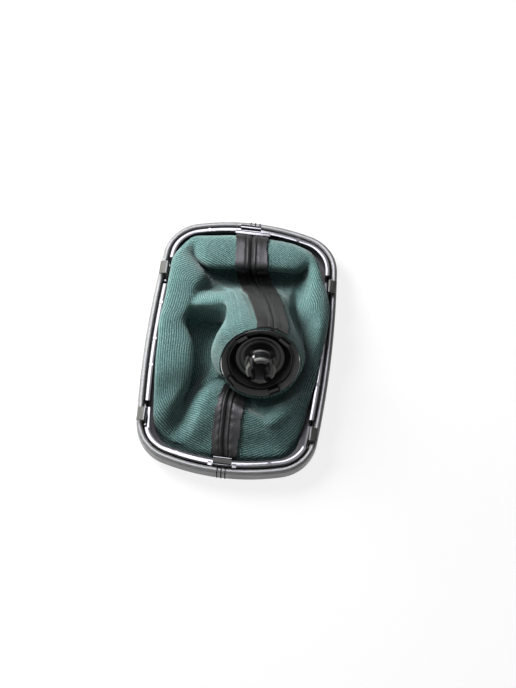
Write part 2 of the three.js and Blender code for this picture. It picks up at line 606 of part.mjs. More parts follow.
function panel(own, other) {
  const { grid, side } = own;
  const nc = grid.length;
  const nr = grid[0].length;
  // Both panels share the seam's direction, so their edges stay the same distance apart.
  const before = (j, r) => (j > 0 ? grid[j - 1][r] : other.grid[nc - 2][r]);
  const after = (j, r) => (j < nc - 1 ? grid[j + 1][r] : other.grid[1][r]);
  const inwards = (j, r) => sub(grid[j][Math.min(r + 1, nr - 1)], grid[j][Math.max(r - 1, 0)]);
  const normal = grid.map((line, j) => line.map((p, r) => {
    if (r < WRAP.length) return side[j][r];
    return unit(crossOf(sub(after(j, r), before(j, r)), inwards(j, r)));
  }));
  const across = (j, r) => unit(crossOf(inwards(j, r), normal[j][r]));
  // Cut the panel back from the seam, further where its own edge is folded over. The strips run
  // from the frame to the collar, except under the collar's low side, where they are trimmed.
  const from = WRAP.length + 2;
  const trimmed = WRAP.length + STEPS.slice(0, RISE_ROW).reduce((a, n) => a + n, 0) - 1;
  const until = own.rearFirst ? [trimmed, nr - 1] : [nr - 1, trimmed];
  const foldR = half + SEAM_GAP / 2;
  const back = (r, end) => {
    if (r > end) return 2 * SEAM_GAP;
    return SEAM_GAP / 2 + (r < from - 1 ? 0 : half + foldR);
  };
  const at = grid.map((line) => line.map((p) => p.slice()));
  for (let r = 0; r < nr; r++) {
    at[0][r] = mixIn(grid[0][r], across(0, r), back(r, until[0]));
    at[nc - 1][r] = mixIn(grid[nc - 1][r], across(nc - 1, r), -back(r, until[1]));
  }
  // Extra columns on each side: the turned edge and the strip lying back on the panel.
  const lift = 2 * foldR;
  const columns = [];
  const normals = [];
  const strip = (edge, dir) => {
    const cs = [];
    const ns = [];
    for (const k of [2, 1, 0]) {
      const j = edge + dir * k;
      cs.push(at[j].map((p, r) => mixIn(p, normal[j][r], lift)));
      ns.push(normal[j].map((n) => n.map((v) => -v)));
    }
    const inward = (r) => across(edge, r).map((v) => v * dir);
    cs.push(at[edge].map((p, r) => mixIn(mixIn(p, normal[edge][r], foldR), inward(r), -foldR)));
    ns.push(at[edge].map((p, r) => inward(r)));
    return { cs, ns };
  };
  const a = strip(0, 1);
  const b = strip(nc - 1, -1);
  columns.push(...a.cs, ...at, ...b.cs.slice().reverse());
  normals.push(...a.ns, ...normal, ...b.ns.slice().reverse());
  const extra = a.cs.length;
  const has = (c, r) => {
    if (c < 0 || r < 0 || c >= columns.length - 1 || r >= nr - 1) return false;
    if (c < extra) return r >= from && r < until[0];
    if (c >= columns.length - 1 - extra) return r >= from && r < until[1];
    return true;
  };
  return thick(columns, normals, has);
}
// A closed body from a grid of middle points, their directions and the cells that exist.
function thick(columns, normals, has) {
  const nc = columns.length;
  const nr = columns[0].length;
  const pos = [];
  const idx = [];
  const up = new Map();
  const down = new Map();
  const vertex = (map, c, r, s) => {
    const key = c * nr + r;
    if (!map.has(key)) {
      map.set(key, pos.length / 3);
      pos.push(...mixIn(columns[c][r], normals[c][r], s * half));
    }
    return map.get(key);
  };
  const u = (c, r) => vertex(up, c, r, 1);
  const d = (c, r) => vertex(down, c, r, -1);
  const quad = (a, b, c, e) => idx.push(a, b, c, a, c, e);
  for (let c = 0; c < nc - 1; c++) {
    for (let r = 0; r < nr - 1; r++) {
      if (!has(c, r)) continue;
      quad(u(c, r), u(c + 1, r), u(c + 1, r + 1), u(c, r + 1));
      quad(d(c, r), d(c, r + 1), d(c + 1, r + 1), d(c + 1, r));
      if (!has(c, r - 1)) quad(u(c, r), d(c, r), d(c + 1, r), u(c + 1, r));
      if (!has(c, r + 1)) quad(u(c + 1, r + 1), d(c + 1, r + 1), d(c, r + 1), u(c, r + 1));
      if (!has(c - 1, r)) quad(u(c, r + 1), d(c, r + 1), d(c, r), u(c, r));
      if (!has(c + 1, r)) quad(u(c + 1, r), d(c + 1, r), d(c + 1, r + 1), u(c + 1, r + 1));
    }
  }
  return facingOut(pos, idx);
}

const group = new THREE.Group();
group.name = 'gear_lever_gaiter';
function add(parent, name, geometry, look) {
  const mesh = new THREE.Mesh(geometry, new THREE.MeshStandardMaterial({ ...look, metalness: 0 }));
  mesh.name = name;
  parent.add(mesh);
}
const textile = { color: 0x46736e, roughness: 0.85 };
const satinBlack = { color: 0x151515, roughness: 0.35 };
add(group, 'frame_carrier', carrier, { color: 0x1a1a1a, roughness: 0.6 });
add(group, 'clamp_ring', clampRing(), { color: 0x0c0c0c, roughness: 0.2 });
const rightGrid = panelGrid(0);
const leftGrid = panelGrid(HALF);
add(group, 'gaiter_panel_right', panel(rightGrid, leftGrid), textile);
add(group, 'gaiter_panel_left', panel(leftGrid, rightGrid), textile);

// The three collar pieces stand in the collar's own frame.
const collar = new THREE.Group();
collar.applyMatrix4(collarPose);
add(collar, 'collar_ring', collarRing(), satinBlack);
add(collar, 'collar_cup', collarCup(), satinBlack);
add(collar, 'lever_sleeve', leverSleeve(), satinBlack);
group.add(collar);

export default group;
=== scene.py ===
# %% [markdown]
# # A gear lever gaiter, underside up
#
# The real thing is a soft bag of leather with a teal textile backing, sewn from two panels. Its
# skirt is wrapped round a moulded plastic frame and trapped there by a glossy clamp ring. Its neck
# is gathered on a plastic collar with a slotted sleeve that grips the lever. Here it lies on its
# visible face, with the bag pushed up through the frame, so the textile side of the sheet shows.
#
# The hard parts are swept and turned shapes, so they are made with bmesh's spin. The bag is one
# grid of points placed by a short table of folds, because its shape is a free, crumpled one.

# %% Frame and units
import math

import bmesh
import bpy
import numpy as np
from mathutils import Matrix, Vector, noise


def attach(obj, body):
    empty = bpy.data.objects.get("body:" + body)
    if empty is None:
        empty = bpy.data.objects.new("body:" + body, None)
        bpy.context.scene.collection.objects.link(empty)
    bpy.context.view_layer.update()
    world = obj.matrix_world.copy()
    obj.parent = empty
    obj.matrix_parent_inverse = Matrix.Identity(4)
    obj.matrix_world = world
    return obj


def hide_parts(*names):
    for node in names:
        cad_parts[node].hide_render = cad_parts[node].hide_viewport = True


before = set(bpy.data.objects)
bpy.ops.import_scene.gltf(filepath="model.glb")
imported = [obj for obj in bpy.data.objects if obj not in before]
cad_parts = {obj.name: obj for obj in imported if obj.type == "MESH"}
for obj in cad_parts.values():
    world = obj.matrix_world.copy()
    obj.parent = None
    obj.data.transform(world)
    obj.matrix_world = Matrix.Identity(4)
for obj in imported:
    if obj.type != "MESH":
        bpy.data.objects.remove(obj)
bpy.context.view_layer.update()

MM = 0.001

# %% [markdown]
# ## Sizes
#
# These are the driving sizes of the real part, in millimetres. An inward offset is a distance from
# the frame's outer edge towards its middle, so a section is a list of (offset, height).

# %% Sizes
FRAME_W, FRAME_L = 110.0, 162.0
CORNER_R, SIDE_BOW_R, END_BOW_R = 24.6, 605.0, 130.0
SHEET_T = 1.1
SHEET_GAP = 0.25
RIM_H = 9.1
FACE_T = 1.8
FLANGE_END = 10.9
LEDGE_OUT, LEDGE_IN, LEDGE_Z = 3.95, 7.15, 11.3
SEAT_O = 13.2
SEAM_GAP = 0.06
STRIP_REAR, STRIP_FRONT = 7.8, 9.0
COLLAR_AT = Vector((14.9, -19.3, 30.0))
COLLAR_TILT, COLLAR_TURN = math.radians(54.5), math.radians(8)
COLLAR_R, BORE_R = 22.4, 5.5
OPEN_X, OPEN_Y = FRAME_W / 2 - 11.2, FRAME_L / 2 - 11.2
HALF_T = SHEET_T / 2
NECK_R = COLLAR_R + SHEET_GAP + HALF_T

# %% [markdown]
# ## Camera
#
# The photo looks down at about 66 degrees from the rear end with a long lens. The camera stands a
# metre away, so the frame's two ends keep the difference in width that the photo shows. Its angles,
# target and lens were found by a separate small program, which fitted them, with the frame's outline,
# to points picked by eye along the rim and the ledge.

# %% Camera
CAM_DISTANCE = 1.0
CAM_AZIMUTH, CAM_ELEVATION, CAM_ROLL = (math.radians(a) for a in (5.26, 66.3, 1.97))
CAM_TARGET = Vector((11.28, 0.73, 12.0)) * MM
PHOTO_HEIGHT, FOCAL_PX = 688, 1701.5


def place_camera():
    flat = math.cos(CAM_ELEVATION)
    back = Vector((math.sin(CAM_AZIMUTH) * flat, -math.cos(CAM_AZIMUTH) * flat,
                   math.sin(CAM_ELEVATION)))
    right = Vector((math.cos(CAM_AZIMUTH), math.sin(CAM_AZIMUTH), 0))
    up = back.cross(right)
    turned_right = right * math.cos(CAM_ROLL) + up * math.sin(CAM_ROLL)
    turned_up = up * math.cos(CAM_ROLL) - right * math.sin(CAM_ROLL)
    data = bpy.data.cameras.new("camera")
    data.sensor_width = 36.0
    data.lens = FOCAL_PX * data.sensor_width / PHOTO_HEIGHT
    data.clip_start = 0.01
    camera = bpy.data.objects.new("camera", data)
    turn = Matrix((turned_right, turned_up, back)).transposed().to_4x4()
    camera.matrix_world = Matrix.Translation(CAM_TARGET + back * CAM_DISTANCE) @ turn
    bpy.context.collection.objects.link(camera)
    bpy.context.scene.camera = camera
    return camera


camera = place_camera()
print("lens in mm:", round(camera.data.lens, 1))


# %% Colours and nodes
def srgb(text):
    """An sRGB hex colour as the linear values that a node wants."""
    parts = [int(text[i:i + 2], 16) / 255 for i in (1, 3, 5)]
    linear = [c / 12.92 if c <= 0.04045 else ((c + 0.055) / 1.055) ** 2.4 for c in parts]
    return (*linear, 1.0)


def add_node(tree, kind, settings=None, links=None):
    """Adds a node. settings are values of the node or its inputs, links its inputs' sources."""
    node = tree.nodes.new(kind)
    for key, value in (settings or {}).items():
        if isinstance(key, str) and hasattr(node, key):
            setattr(node, key, value)
        else:
            node.inputs[key].default_value = value
    for key, source in (links or {}).items():
        tree.links.new(source, node.inputs[key])
    return node


def new_material(name):
    """An empty material with its output, ready for a shader."""
    material = bpy.data.materials.new(name)
    material.use_nodes = True
    tree = material.node_tree
    tree.nodes.clear()
    output = tree.nodes.new("ShaderNodeOutputMaterial")
    return material, tree, output


# %% [markdown]
# ## Light
#
# A low softbox at the far left models the folds, and a weak one at the near end fills them. Glossy
# black plastic shows nothing of its own, only what it mirrors, so it gets cards of its own that
# light nothing else. A wide card stands above the far end, where the ring's flat top mirrors it,
# and gives the white band on the left. A weak one beside it gives the grey band on the right. The
# key lamp would turn the clips white, so a dimmer card in its place is mirrored instead. The world
# is a dim fill, and what mirrors it sees it lighter at the near end than at the far end.

# %% Lamps and world
KEY_AT, KEY_SIZE, KEY_POWER = Vector((-0.46, 0.31, 0.33)), (0.4, 0.4), 13.5
CARD_AT, CARD_SIZE, CARD_POWER = Vector((-0.26, 0.42, 1.0)), (0.44, 0.8), 18.0
DIM_CARD_AT, DIM_CARD_SIZE, DIM_CARD_POWER = Vector((0.13, 0.42, 1.0)), (0.34, 0.8), 2.4
FRONT_AT, FRONT_SIZE, FRONT_POWER = Vector((-0.2, -0.9, 0.5)), (0.9, 0.5), 1.0
LEFT_CARD_POWER = 7.0
WORLD_LEVEL, WORLD_GLOSS_FRONT, WORLD_GLOSS_BACK = 0.09, 0.6, 0.15


def softbox(name, place, size, power, colour):
    """An area lamp at place in metres, turned to face the object."""
    data = bpy.data.lights.new(name, "AREA")
    data.shape = "RECTANGLE"
    data.size, data.size_y = size
    data.energy = power
    data.color = srgb(colour)[:3]
    lamp = bpy.data.objects.new(name, data)
    lamp.location = place
    lamp.rotation_euler = place.to_track_quat("Z", "Y").to_euler()
    bpy.context.collection.objects.link(lamp)
    return lamp


key = softbox("key", KEY_AT, KEY_SIZE, KEY_POWER, "#ffffff")
key.visible_glossy = False
left_card = softbox("left_card", KEY_AT, KEY_SIZE, LEFT_CARD_POWER, "#ffffff")
left_card.visible_diffuse = False
for name, place, size, power in (("card", CARD_AT, CARD_SIZE, CARD_POWER),
                                 ("dim_card", DIM_CARD_AT, DIM_CARD_SIZE, DIM_CARD_POWER)):
    card = softbox(name, place, size, power, "#f4f2ff")
    card.rotation_euler = (0, 0, 0)
    card.visible_diffuse = False
softbox("front", FRONT_AT, FRONT_SIZE, FRONT_POWER, "#ffffff")
world = bpy.data.worlds.new("studio")
bpy.context.scene.world = world
world.use_nodes = True
sky = world.node_tree.nodes["Background"]
sky.inputs["Color"].default_value = srgb("#ffffff")
ray = add_node(world.node_tree, "ShaderNodeLightPath")
way = add_node(world.node_tree, "ShaderNodeTexCoord")
way_parts = add_node(world.node_tree, "ShaderNodeSeparateXYZ", links={0: way.outputs["Generated"]})
shine = add_node(world.node_tree, "ShaderNodeMapRange",
                 {"From Min": -0.8, "From Max": 0.8, "To Min": WORLD_GLOSS_FRONT,
                  "To Max": WORLD_GLOSS_BACK},
                 {"Value": way_parts.outputs["Y"]})
level = add_node(world.node_tree, "ShaderNodeMapRange", {"To Min": WORLD_LEVEL},
                 {"Value": ray.outputs["Is Glossy Ray"], "To Max": shine.outputs["Result"]})
world.node_tree.links.new(level.outputs["Result"], sky.inputs["Strength"])
bpy.context.scene.view_settings.view_transform = "Standard"

# %% [markdown]
# ## Materials
#
# The textile is a ribbed twill laminated to the back of the leather. Its ribs are about 1.35 mm
# apart and follow the cut of the panel, so they read the panel's own UV map, in which one unit is
# one metre of cloth. U runs round the frame and V runs from the frame's edge into the bag.

# %% Textile material
RIB_PITCH = 1.35
THREAD_PITCH = 0.9


def twill_textile():
    material, tree, output = new_material("ribbed_twill_textile")
    uv = add_node(tree, "ShaderNodeUVMap", {"uv_map": "cloth"})
    wobble = add_node(tree, "ShaderNodeTexNoise", {"Scale": 260.0, "Detail": 2.0},
                      {"Vector": uv.outputs[0]})
    centred = add_node(tree, "ShaderNodeMath", {"operation": "MULTIPLY_ADD", 1: 0.0007, 2: 0.0},
                       {0: wobble.outputs["Fac"]})
    parts = add_node(tree, "ShaderNodeSeparateXYZ", links={0: uv.outputs[0]})
    line = add_node(tree, "ShaderNodeMath", {"operation": "ADD"},
                    {0: parts.outputs["Y"], 1: centred.outputs[0]})
    phase = add_node(tree, "ShaderNodeMath",
                     {"operation": "MULTIPLY", 1: 2 * math.pi / (RIB_PITCH * MM)},
                     {0: line.outputs[0]})
    rib = add_node(tree, "ShaderNodeMath", {"operation": "SINE"}, {0: phase.outputs[0]})
    along = add_node(tree, "ShaderNodeMath",
                     {"operation": "MULTIPLY", 1: 2 * math.pi / (THREAD_PITCH * MM)},
                     {0: parts.outputs["X"]})
    twist = add_node(tree, "ShaderNodeMath", {"operation": "ADD"},
                     {0: along.outputs[0], 1: phase.outputs[0]})
    yarn = add_node(tree, "ShaderNodeMath", {"operation": "SINE"}, {0: twist.outputs[0]})
    weave = add_node(tree, "ShaderNodeMath", {"operation": "MULTIPLY_ADD", 1: 0.45},
                     {0: yarn.outputs[0], 2: rib.outputs[0]})
    object_at = add_node(tree, "ShaderNodeTexCoord")
    fluff = add_node(tree, "ShaderNodeTexNoise", {"Scale": 1500.0, "Detail": 2.0},
                     {"Vector": object_at.outputs["Object"]})
    patch = add_node(tree, "ShaderNodeTexNoise", {"Scale": 55.0, "Detail": 3.0},
                     {"Vector": object_at.outputs["Object"]})
    mixed = add_node(tree, "ShaderNodeMath", {"operation": "MULTIPLY_ADD", 1: 4.0},
                     {0: fluff.outputs["Fac"], 2: weave.outputs[0]})
    level = add_node(tree, "ShaderNodeMapRange",
                     {"From Min": 0.5, "From Max": 3.5}, {"Value": mixed.outputs[0]})
    ramp = add_node(tree, "ShaderNodeValToRGB", links={"Fac": level.outputs["Result"]})
    ramp.color_ramp.elements[0].color = srgb("#152f2e")
    ramp.color_ramp.elements[1].color = srgb("#7b9995")
    middle = ramp.color_ramp.elements.new(0.5)
    middle.color = srgb("#3a605d")
    tint = add_node(tree, "ShaderNodeMix",
                    {"data_type": "RGBA", "blend_type": "MULTIPLY", "Factor": 0.5})
    shade = add_node(tree, "ShaderNodeValToRGB", links={"Fac": patch.outputs["Fac"]})
    shade.color_ramp.elements[0].position = 0.3
    shade.color_ramp.elements[0].color = srgb("#b9cbd0")
    shade.color_ramp.elements[1].position = 0.7
    shade.color_ramp.elements[1].color = srgb("#ffffff")
    tree.links.new(ramp.outputs["Color"], tint.inputs["A"])
    tree.links.new(shade.outputs["Color"], tint.inputs["B"])
    bump = add_node(tree, "ShaderNodeBump", {"Strength": 0.75, "Distance": 0.00025},
                    {"Height": level.outputs["Result"]})
    shader = add_node(tree, "ShaderNodeBsdfPrincipled",
                      {"Roughness": 0.92, "Specular IOR Level": 0.25, "Sheen Weight": 0.22,
                       "Sheen Roughness": 0.5},
                      {"Base Color": tint.outputs["Result"], "Normal": bump.outputs["Normal"]})
    tree.links.new(shader.outputs["BSDF"], output.inputs["Surface"])
    return material


# %% [markdown]
# Leather is dyed and finished hide. Its grain is a net of shallow creases round pebbles of about
# 0.9 mm, and its finish gives a wide, soft highlight. The same hide is used on the rim and on the
# seam strips. The rim is pulled tight, so its grain is flatter and it shines more, and its base is
# painted a lighter grey, a painted sheen. Raw cut edges and spun thread use the same nodes with a
# dull finish.

# %% Leather material
GRAIN_PITCH = 0.9


def grained_leather(name, dark, light, grain, roughness, shine=0.5):
    material, tree, output = new_material(name)
    place = add_node(tree, "ShaderNodeTexCoord")
    pebble = add_node(tree, "ShaderNodeTexVoronoi",
                      {"feature": "SMOOTH_F1", "Scale": 1 / (GRAIN_PITCH * MM),
                       "Smoothness": 0.6, "Randomness": 0.9},
                      {"Vector": place.outputs["Object"]})
    pores = add_node(tree, "ShaderNodeTexNoise", {"Scale": 2600.0, "Detail": 3.0},
                     {"Vector": place.outputs["Object"]})
    cloud = add_node(tree, "ShaderNodeTexNoise", {"Scale": 90.0, "Detail": 4.0},
                     {"Vector": place.outputs["Object"]})
    height = add_node(tree, "ShaderNodeMath", {"operation": "MULTIPLY_ADD", 1: 0.35},
                      {0: pores.outputs["Fac"], 2: pebble.outputs["Distance"]})
    tone = add_node(tree, "ShaderNodeMath", {"operation": "MULTIPLY_ADD", 1: 0.6},
                    {0: cloud.outputs["Fac"], 2: pebble.outputs["Distance"]})
    ramp = add_node(tree, "ShaderNodeValToRGB", links={"Fac": tone.outputs[0]})
    ramp.color_ramp.elements[0].position = 0.25
    ramp.color_ramp.elements[0].color = srgb(light)
    ramp.color_ramp.elements[1].position = 0.95
    ramp.color_ramp.elements[1].color = srgb(dark)
    bump = add_node(tree, "ShaderNodeBump",
                    {"Strength": grain, "Distance": 0.0002, "invert": True},
                    {"Height": height.outputs[0]})
    rough = add_node(tree, "ShaderNodeMapRange",
                     {"To Min": roughness - 0.08, "To Max": roughness + 0.1},
                     {"Value": cloud.outputs["Fac"]})
    shader = add_node(tree, "ShaderNodeBsdfPrincipled",
                      {"IOR": 1.5, "Specular IOR Level": shine, "Sheen Weight": 0.05,
                       "Sheen Roughness": 0.4},
                      {"Base Color": ramp.outputs["Color"], "Normal": bump.outputs["Normal"],
                       "Roughness": rough.outputs["Result"]})
    tree.links.new(shader.outputs["BSDF"], output.inputs["Surface"])
    return material


# %% [markdown]
# The clamp ring is polished ABS: a mirror with a trace of ripple from the mould. Its clips are the
# same plastic, worn rougher by handling, and their paler grey base is a painted sheen. The collar's
# pieces are a satin moulding with a fine spark-eroded grain. The collar ring's lighter grey is a
# painted sheen, the paler grey on the sleeve's bead and shoulder is a painted highlight, and the
# near-black in the bore and the deep groove is a painted shade. All are black, so nearly all their
# light is mirrored light, and roughness tells them apart.

# %% Plastic materials
def moulded_plastic(name, colour, roughness, coat, ripple, ripple_scale, distance):
    material, tree, output = new_material(name)
    place = add_node(tree, "ShaderNodeTexCoord")
    wave = add_node(tree, "ShaderNodeTexNoise", {"Scale": ripple_scale, "Detail": 3.0},
                    {"Vector": place.outputs["Object"]})
    bump = add_node(tree, "ShaderNodeBump", {"Strength": ripple, "Distance": distance},
                    {"Height": wave.outputs["Fac"]})
    rough = add_node(tree, "ShaderNodeMapRange",
                     {"To Min": roughness * 0.8, "To Max": roughness * 1.25},
                     {"Value": wave.outputs["Fac"]})
    shader = add_node(tree, "ShaderNodeBsdfPrincipled",
                      {"Base Color": srgb(colour), "IOR": 1.53, "Coat Weight": coat,
                       "Coat Roughness": 0.06},
                      {"Roughness": rough.outputs["Result"], "Normal": bump.outputs["Normal"]})
    tree.links.new(shader.outputs["BSDF"], output.inputs["Surface"])
    return material


textile = twill_textile()
strip_leather = grained_leather("black_leather_seam", "#080908", "#161716", 0.35, 0.46)
# The rim's hide is painted a lighter grey than the black strips: a painted sheen.
rim_leather_painted_sheen = grained_leather("black_leather_rim_painted_sheen", "#5c5d5c", "#747573", 0.12, 0.4, 1.0)
cut_edge = grained_leather("raw_leather_edge", "#232220", "#403e39", 0.4, 0.9)
polished_abs = moulded_plastic("polished_black_abs", "#0c0c0e", 0.09, 0.9, 0.2, 120.0, 0.0004)
satin_abs = moulded_plastic("satin_black_moulding", "#1b1c1b", 0.34, 0.0, 0.35, 1800.0, 0.0001)
# The clips' paler grey base is a painted sheen on black plastic.
clip_painted_sheen_abs = moulded_plastic("black_abs_painted_sheen", "#454540", 0.3, 0.4, 0.4, 500.0, 0.0003)
# The paler grey of the sleeve's bead and shoulder is a painted highlight.
bead_painted_highlight_abs = moulded_plastic("black_moulding_painted_highlight", "#5d6058", 0.4, 0.0, 0.5, 1400.0, 0.0002)
# The collar ring's lighter grey is a painted sheen on black plastic.
collar_ring_painted_sheen_abs = moulded_plastic("collar_ring_painted_sheen", "#333432", 0.36, 0.0, 0.35, 1800.0, 0.0001)
# Near-black and matt: a painted shade for the bore and the cup's deep groove.
painted_shade_abs = moulded_plastic("black_moulding_painted_shade", "#020202", 0.95, 0.0, 0.2, 1500.0, 0.0001)
carrier_plastic = moulded_plastic("matt_black_moulding", "#080808", 0.6, 0.0, 0.4, 1500.0, 0.0001)
thread = grained_leather("spun_black_thread", "#060606", "#131313", 0.4, 0.9)
print("materials:", len(bpy.data.materials))


# %% [markdown]
# ## Finishing a mesh
#
# Every piece leaves bmesh the same way: a new object at the origin, its materials, smooth shading
# where faces meet at a small angle, the body that it rides on and the node that it stands for.

# %% Piece helper
SMOOTH_ANGLE = math.radians(32)


def make_piece(bm, name, materials, node=None, smooth=SMOOTH_ANGLE):
    """Turns a bmesh into a finished piece of the object."""
    for face in bm.faces:
        face.smooth = True
    for edge in bm.edges:
        edge.smooth = len(edge.link_faces) == 2 and edge.calc_face_angle(0) < smooth
    mesh = bpy.data.meshes.new(name)
    bm.to_mesh(mesh)
    bm.free()
    for material in materials:
        mesh.materials.append(material)
    piece = bpy.data.objects.new(name, mesh)
    bpy.context.collection.objects.link(piece)
    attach(piece, "root")
    if node:
        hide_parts(node)
    print(name, "faces:", len(mesh.polygons))
    return piece


def rounded(section, radius):
    """The same closed section with its corners rounded."""
    bm = bmesh.new()
    ring = [bm.verts.new((a, b, 0)) for a, b in section]
    bm.faces.new(ring)
    bmesh.ops.bevel(bm, geom=bm.verts[:], offset=radius, offset_type="OFFSET", segments=2,
                    profile=0.5, affect="VERTICES", material=-1)
    bm.faces.ensure_lookup_table()
    points = [(v.co.x, v.co.y) for v in bm.faces[0].verts]
    bm.free()
    return points


# %% [markdown]
# ## The frame's outline
#
# The outline is only arcs: two side bows, two end bows and four corners, each tangent to the next.
# An offset keeps the centres and changes the radii, so one function gives every line on the frame.

# %% Outline
def corner_centre():
    """Where an arc of the corner radius touches a side bow and an end bow from inside."""
    side, end = Vector((FRAME_W / 2 - SIDE_BOW_R, 0)), Vector((0, FRAME_L / 2 - END_BOW_R))
    reach_side, reach_end = SIDE_BOW_R - CORNER_R, END_BOW_R - CORNER_R
    gap = end - side
    run = (reach_side ** 2 - reach_end ** 2 + gap.length_squared) / (2 * gap.length)
    rise = math.sqrt(reach_side ** 2 - run ** 2)
    along = gap.normalized()
    return side, end, side + along * run + Vector((-along.y, along.x)) * rise


side_c, end_c, corner_c = corner_centre()
SIDE_ANGLE = math.atan2(*(corner_c - side_c).yx)
END_ANGLE = math.atan2(*(corner_c - end_c).yx)
ARCS = [
    (end_c, math.pi / 2, END_ANGLE, END_BOW_R),
    (corner_c, END_ANGLE, SIDE_ANGLE, CORNER_R),
    (side_c, SIDE_ANGLE, 0.0, SIDE_BOW_R),
]
ARC_LENGTHS = [(a0 - a1) * r for _, a0, a1, r in ARCS]
QUARTER = sum(ARC_LENGTHS)
print("frame perimeter in mm:", round(4 * QUARTER, 1))


def quarter_point(s):
    """Arc centre, outward direction and radius at s mm from the middle of an end."""
    for (centre, a0, a1, radius), length in zip(ARCS, ARC_LENGTHS):
        if s <= length or (centre, radius) == (side_c, SIDE_BOW_R):
            angle = a0 - min(s, length) / radius
            return centre, Vector((math.cos(angle), math.sin(angle))), radius
        s -= length


def rim_sample(s):
    """The same, s mm round the whole frame from the middle of the rear end, counter-clockwise."""
    quarter = int(s / QUARTER) % 4
    rest = s - QUARTER * int(s / QUARTER)
    if quarter in (1, 3):
        rest = QUARTER - rest
    centre, out, radius = quarter_point(rest)
    flip = Vector((1 if quarter < 2 else -1, 1 if quarter in (1, 2) else -1))
    return centre * flip, out * flip, radius


def rim_point(s, offset, z):
    centre, out, radius = rim_sample(s)
    place = centre + out * (radius - offset)
    return (place.x, place.y, z)


# %% Sweeping a section round the frame
SPIN_STEPS = (20, 18, 14)


def spin_round_frame(section):
    """Sweeps a closed section of (offset, height) in mm round the frame."""
    bm = bmesh.new()
    start = [bm.verts.new((0, (FRAME_L / 2 - o) * MM, z * MM)) for o, z in section]
    geom = start + [bm.edges.new((a, b)) for a, b in zip(start, start[1:] + start[:1])]
    for (centre, a0, a1, _), steps in zip(ARCS, SPIN_STEPS):
        out = bmesh.ops.spin(bm, geom=geom, cent=(*(centre * MM), 0), axis=(0, 0, -1),
                             angle=a0 - a1, steps=steps, use_duplicate=False)
        geom = out["geom_last"]
    for axis in ("X", "Y"):
        bmesh.ops.mirror(bm, geom=bm.verts[:] + bm.edges[:] + bm.faces[:], axis=axis,
                         merge_dist=1e-6)
    bmesh.ops.remove_doubles(bm, verts=bm.verts, dist=1e-6)
    bmesh.ops.recalc_face_normals(bm, faces=bm.faces)
    return bm


# %% [markdown]
# ## The carrier
#
# The carrier is the moulding that the leather is wrapped round. The panels cover nearly all of it.
# It is one L-shaped section, spun round the frame's arcs, because its wall and its flat face were
# moulded in one.

# %% Carrier
WALL_IN = SHEET_T + SHEET_GAP + 1.0
FACE_Z = SHEET_T + SHEET_GAP
carrier_section = [
    (WALL_IN, FACE_Z), (FACE_Z, FACE_Z + 1.0), (FACE_Z, RIM_H), (WALL_IN, RIM_H),
    (WALL_IN, FACE_Z + FACE_T), (FLANGE_END, FACE_Z + FACE_T), (FLANGE_END, FACE_Z),
]
make_piece(spin_round_frame(rounded(carrier_section, 0.25)), "frame_carrier_moulding",
           [carrier_plastic], "frame_carrier")

# %% [markdown]
# ## The clamp ring
#
# The clamp ring is a trough turned upside down, pressed in beside the rim. Four spring clips stand
# in gaps of its ledge, a tongue stands at the rear and a hook at the front. The gaps are cut with a
# Boolean modifier, because a cut across a swept section has no simpler operator. The clips are
# drawn in section and extruded.


# %% Clamp ring helpers
def side_x(y):
    return side_c.x + math.sqrt(SIDE_BOW_R ** 2 - y ** 2)


def end_y(x):
    return end_c.y + math.sqrt(END_BOW_R ** 2 - x ** 2)


def add_box(bm, low, high, bevel=0.0):
    """A box between two corners in mm, with its edges bevelled."""
    made = bmesh.ops.create_cube(bm, size=1.0)["verts"]
    size = Vector(high) - Vector(low)
    middle = (Vector(high) + Vector(low)) / 2
    bmesh.ops.scale(bm, verts=made, vec=size * MM)
    bmesh.ops.translate(bm, verts=made, vec=middle * MM)
    if bevel:
        edges = list({e for v in made for e in v.link_edges})
        bmesh.ops.bevel(bm, geom=edges, offset=bevel * MM, segments=2, profile=0.5,
                        affect="EDGES", material=-1)


def add_prism(bm, section, place, length):
    """Extrudes a closed section. place turns (a, b, along) in mm into a point."""
    ring = [bm.verts.new(Vector(place(a, b, 0)) * MM) for a, b in section]
    face = bm.faces.new(ring)
    out = bmesh.ops.extrude_face_region(bm, geom=[face])
    moved = [g for g in out["geom"] if isinstance(g, bmesh.types.BMVert)]
    step = Vector(place(0, 0, length)) - Vector(place(0, 0, 0))
    bmesh.ops.translate(bm, verts=moved, vec=step * MM)


def add_disc(bm, x, y, z0, z1, radius):
    made = bmesh.ops.create_cone(bm, cap_ends=True, segments=24, radius1=radius * MM,
                                 radius2=radius * 0.86 * MM, depth=(z1 - z0) * MM)["verts"]
    bmesh.ops.translate(bm, verts=made, vec=Vector((x, y, (z0 + z1) / 2)) * MM)


def boolean(piece, cutter_bm, operation):
    """Applies one exact Boolean to a piece's mesh."""
    bmesh.ops.recalc_face_normals(cutter_bm, faces=cutter_bm.faces)
    mesh = bpy.data.meshes.new("cutter")
    cutter_bm.to_mesh(mesh)
    cutter_bm.free()
    cutter = bpy.data.objects.new("cutter", mesh)
    bpy.context.collection.objects.link(cutter)
    modifier = piece.modifiers.new("cut", "BOOLEAN")
    modifier.operation = operation
    modifier.solver = "EXACT"
    modifier.object = cutter
    graph = bpy.context.evaluated_depsgraph_get()
    result = bpy.data.meshes.new_from_object(piece.evaluated_get(graph))
    piece.modifiers.clear()
    old = piece.data
    piece.data = result
    bpy.data.meshes.remove(old)
    bpy.data.objects.remove(cutter)
    bpy.data.meshes.remove(mesh)


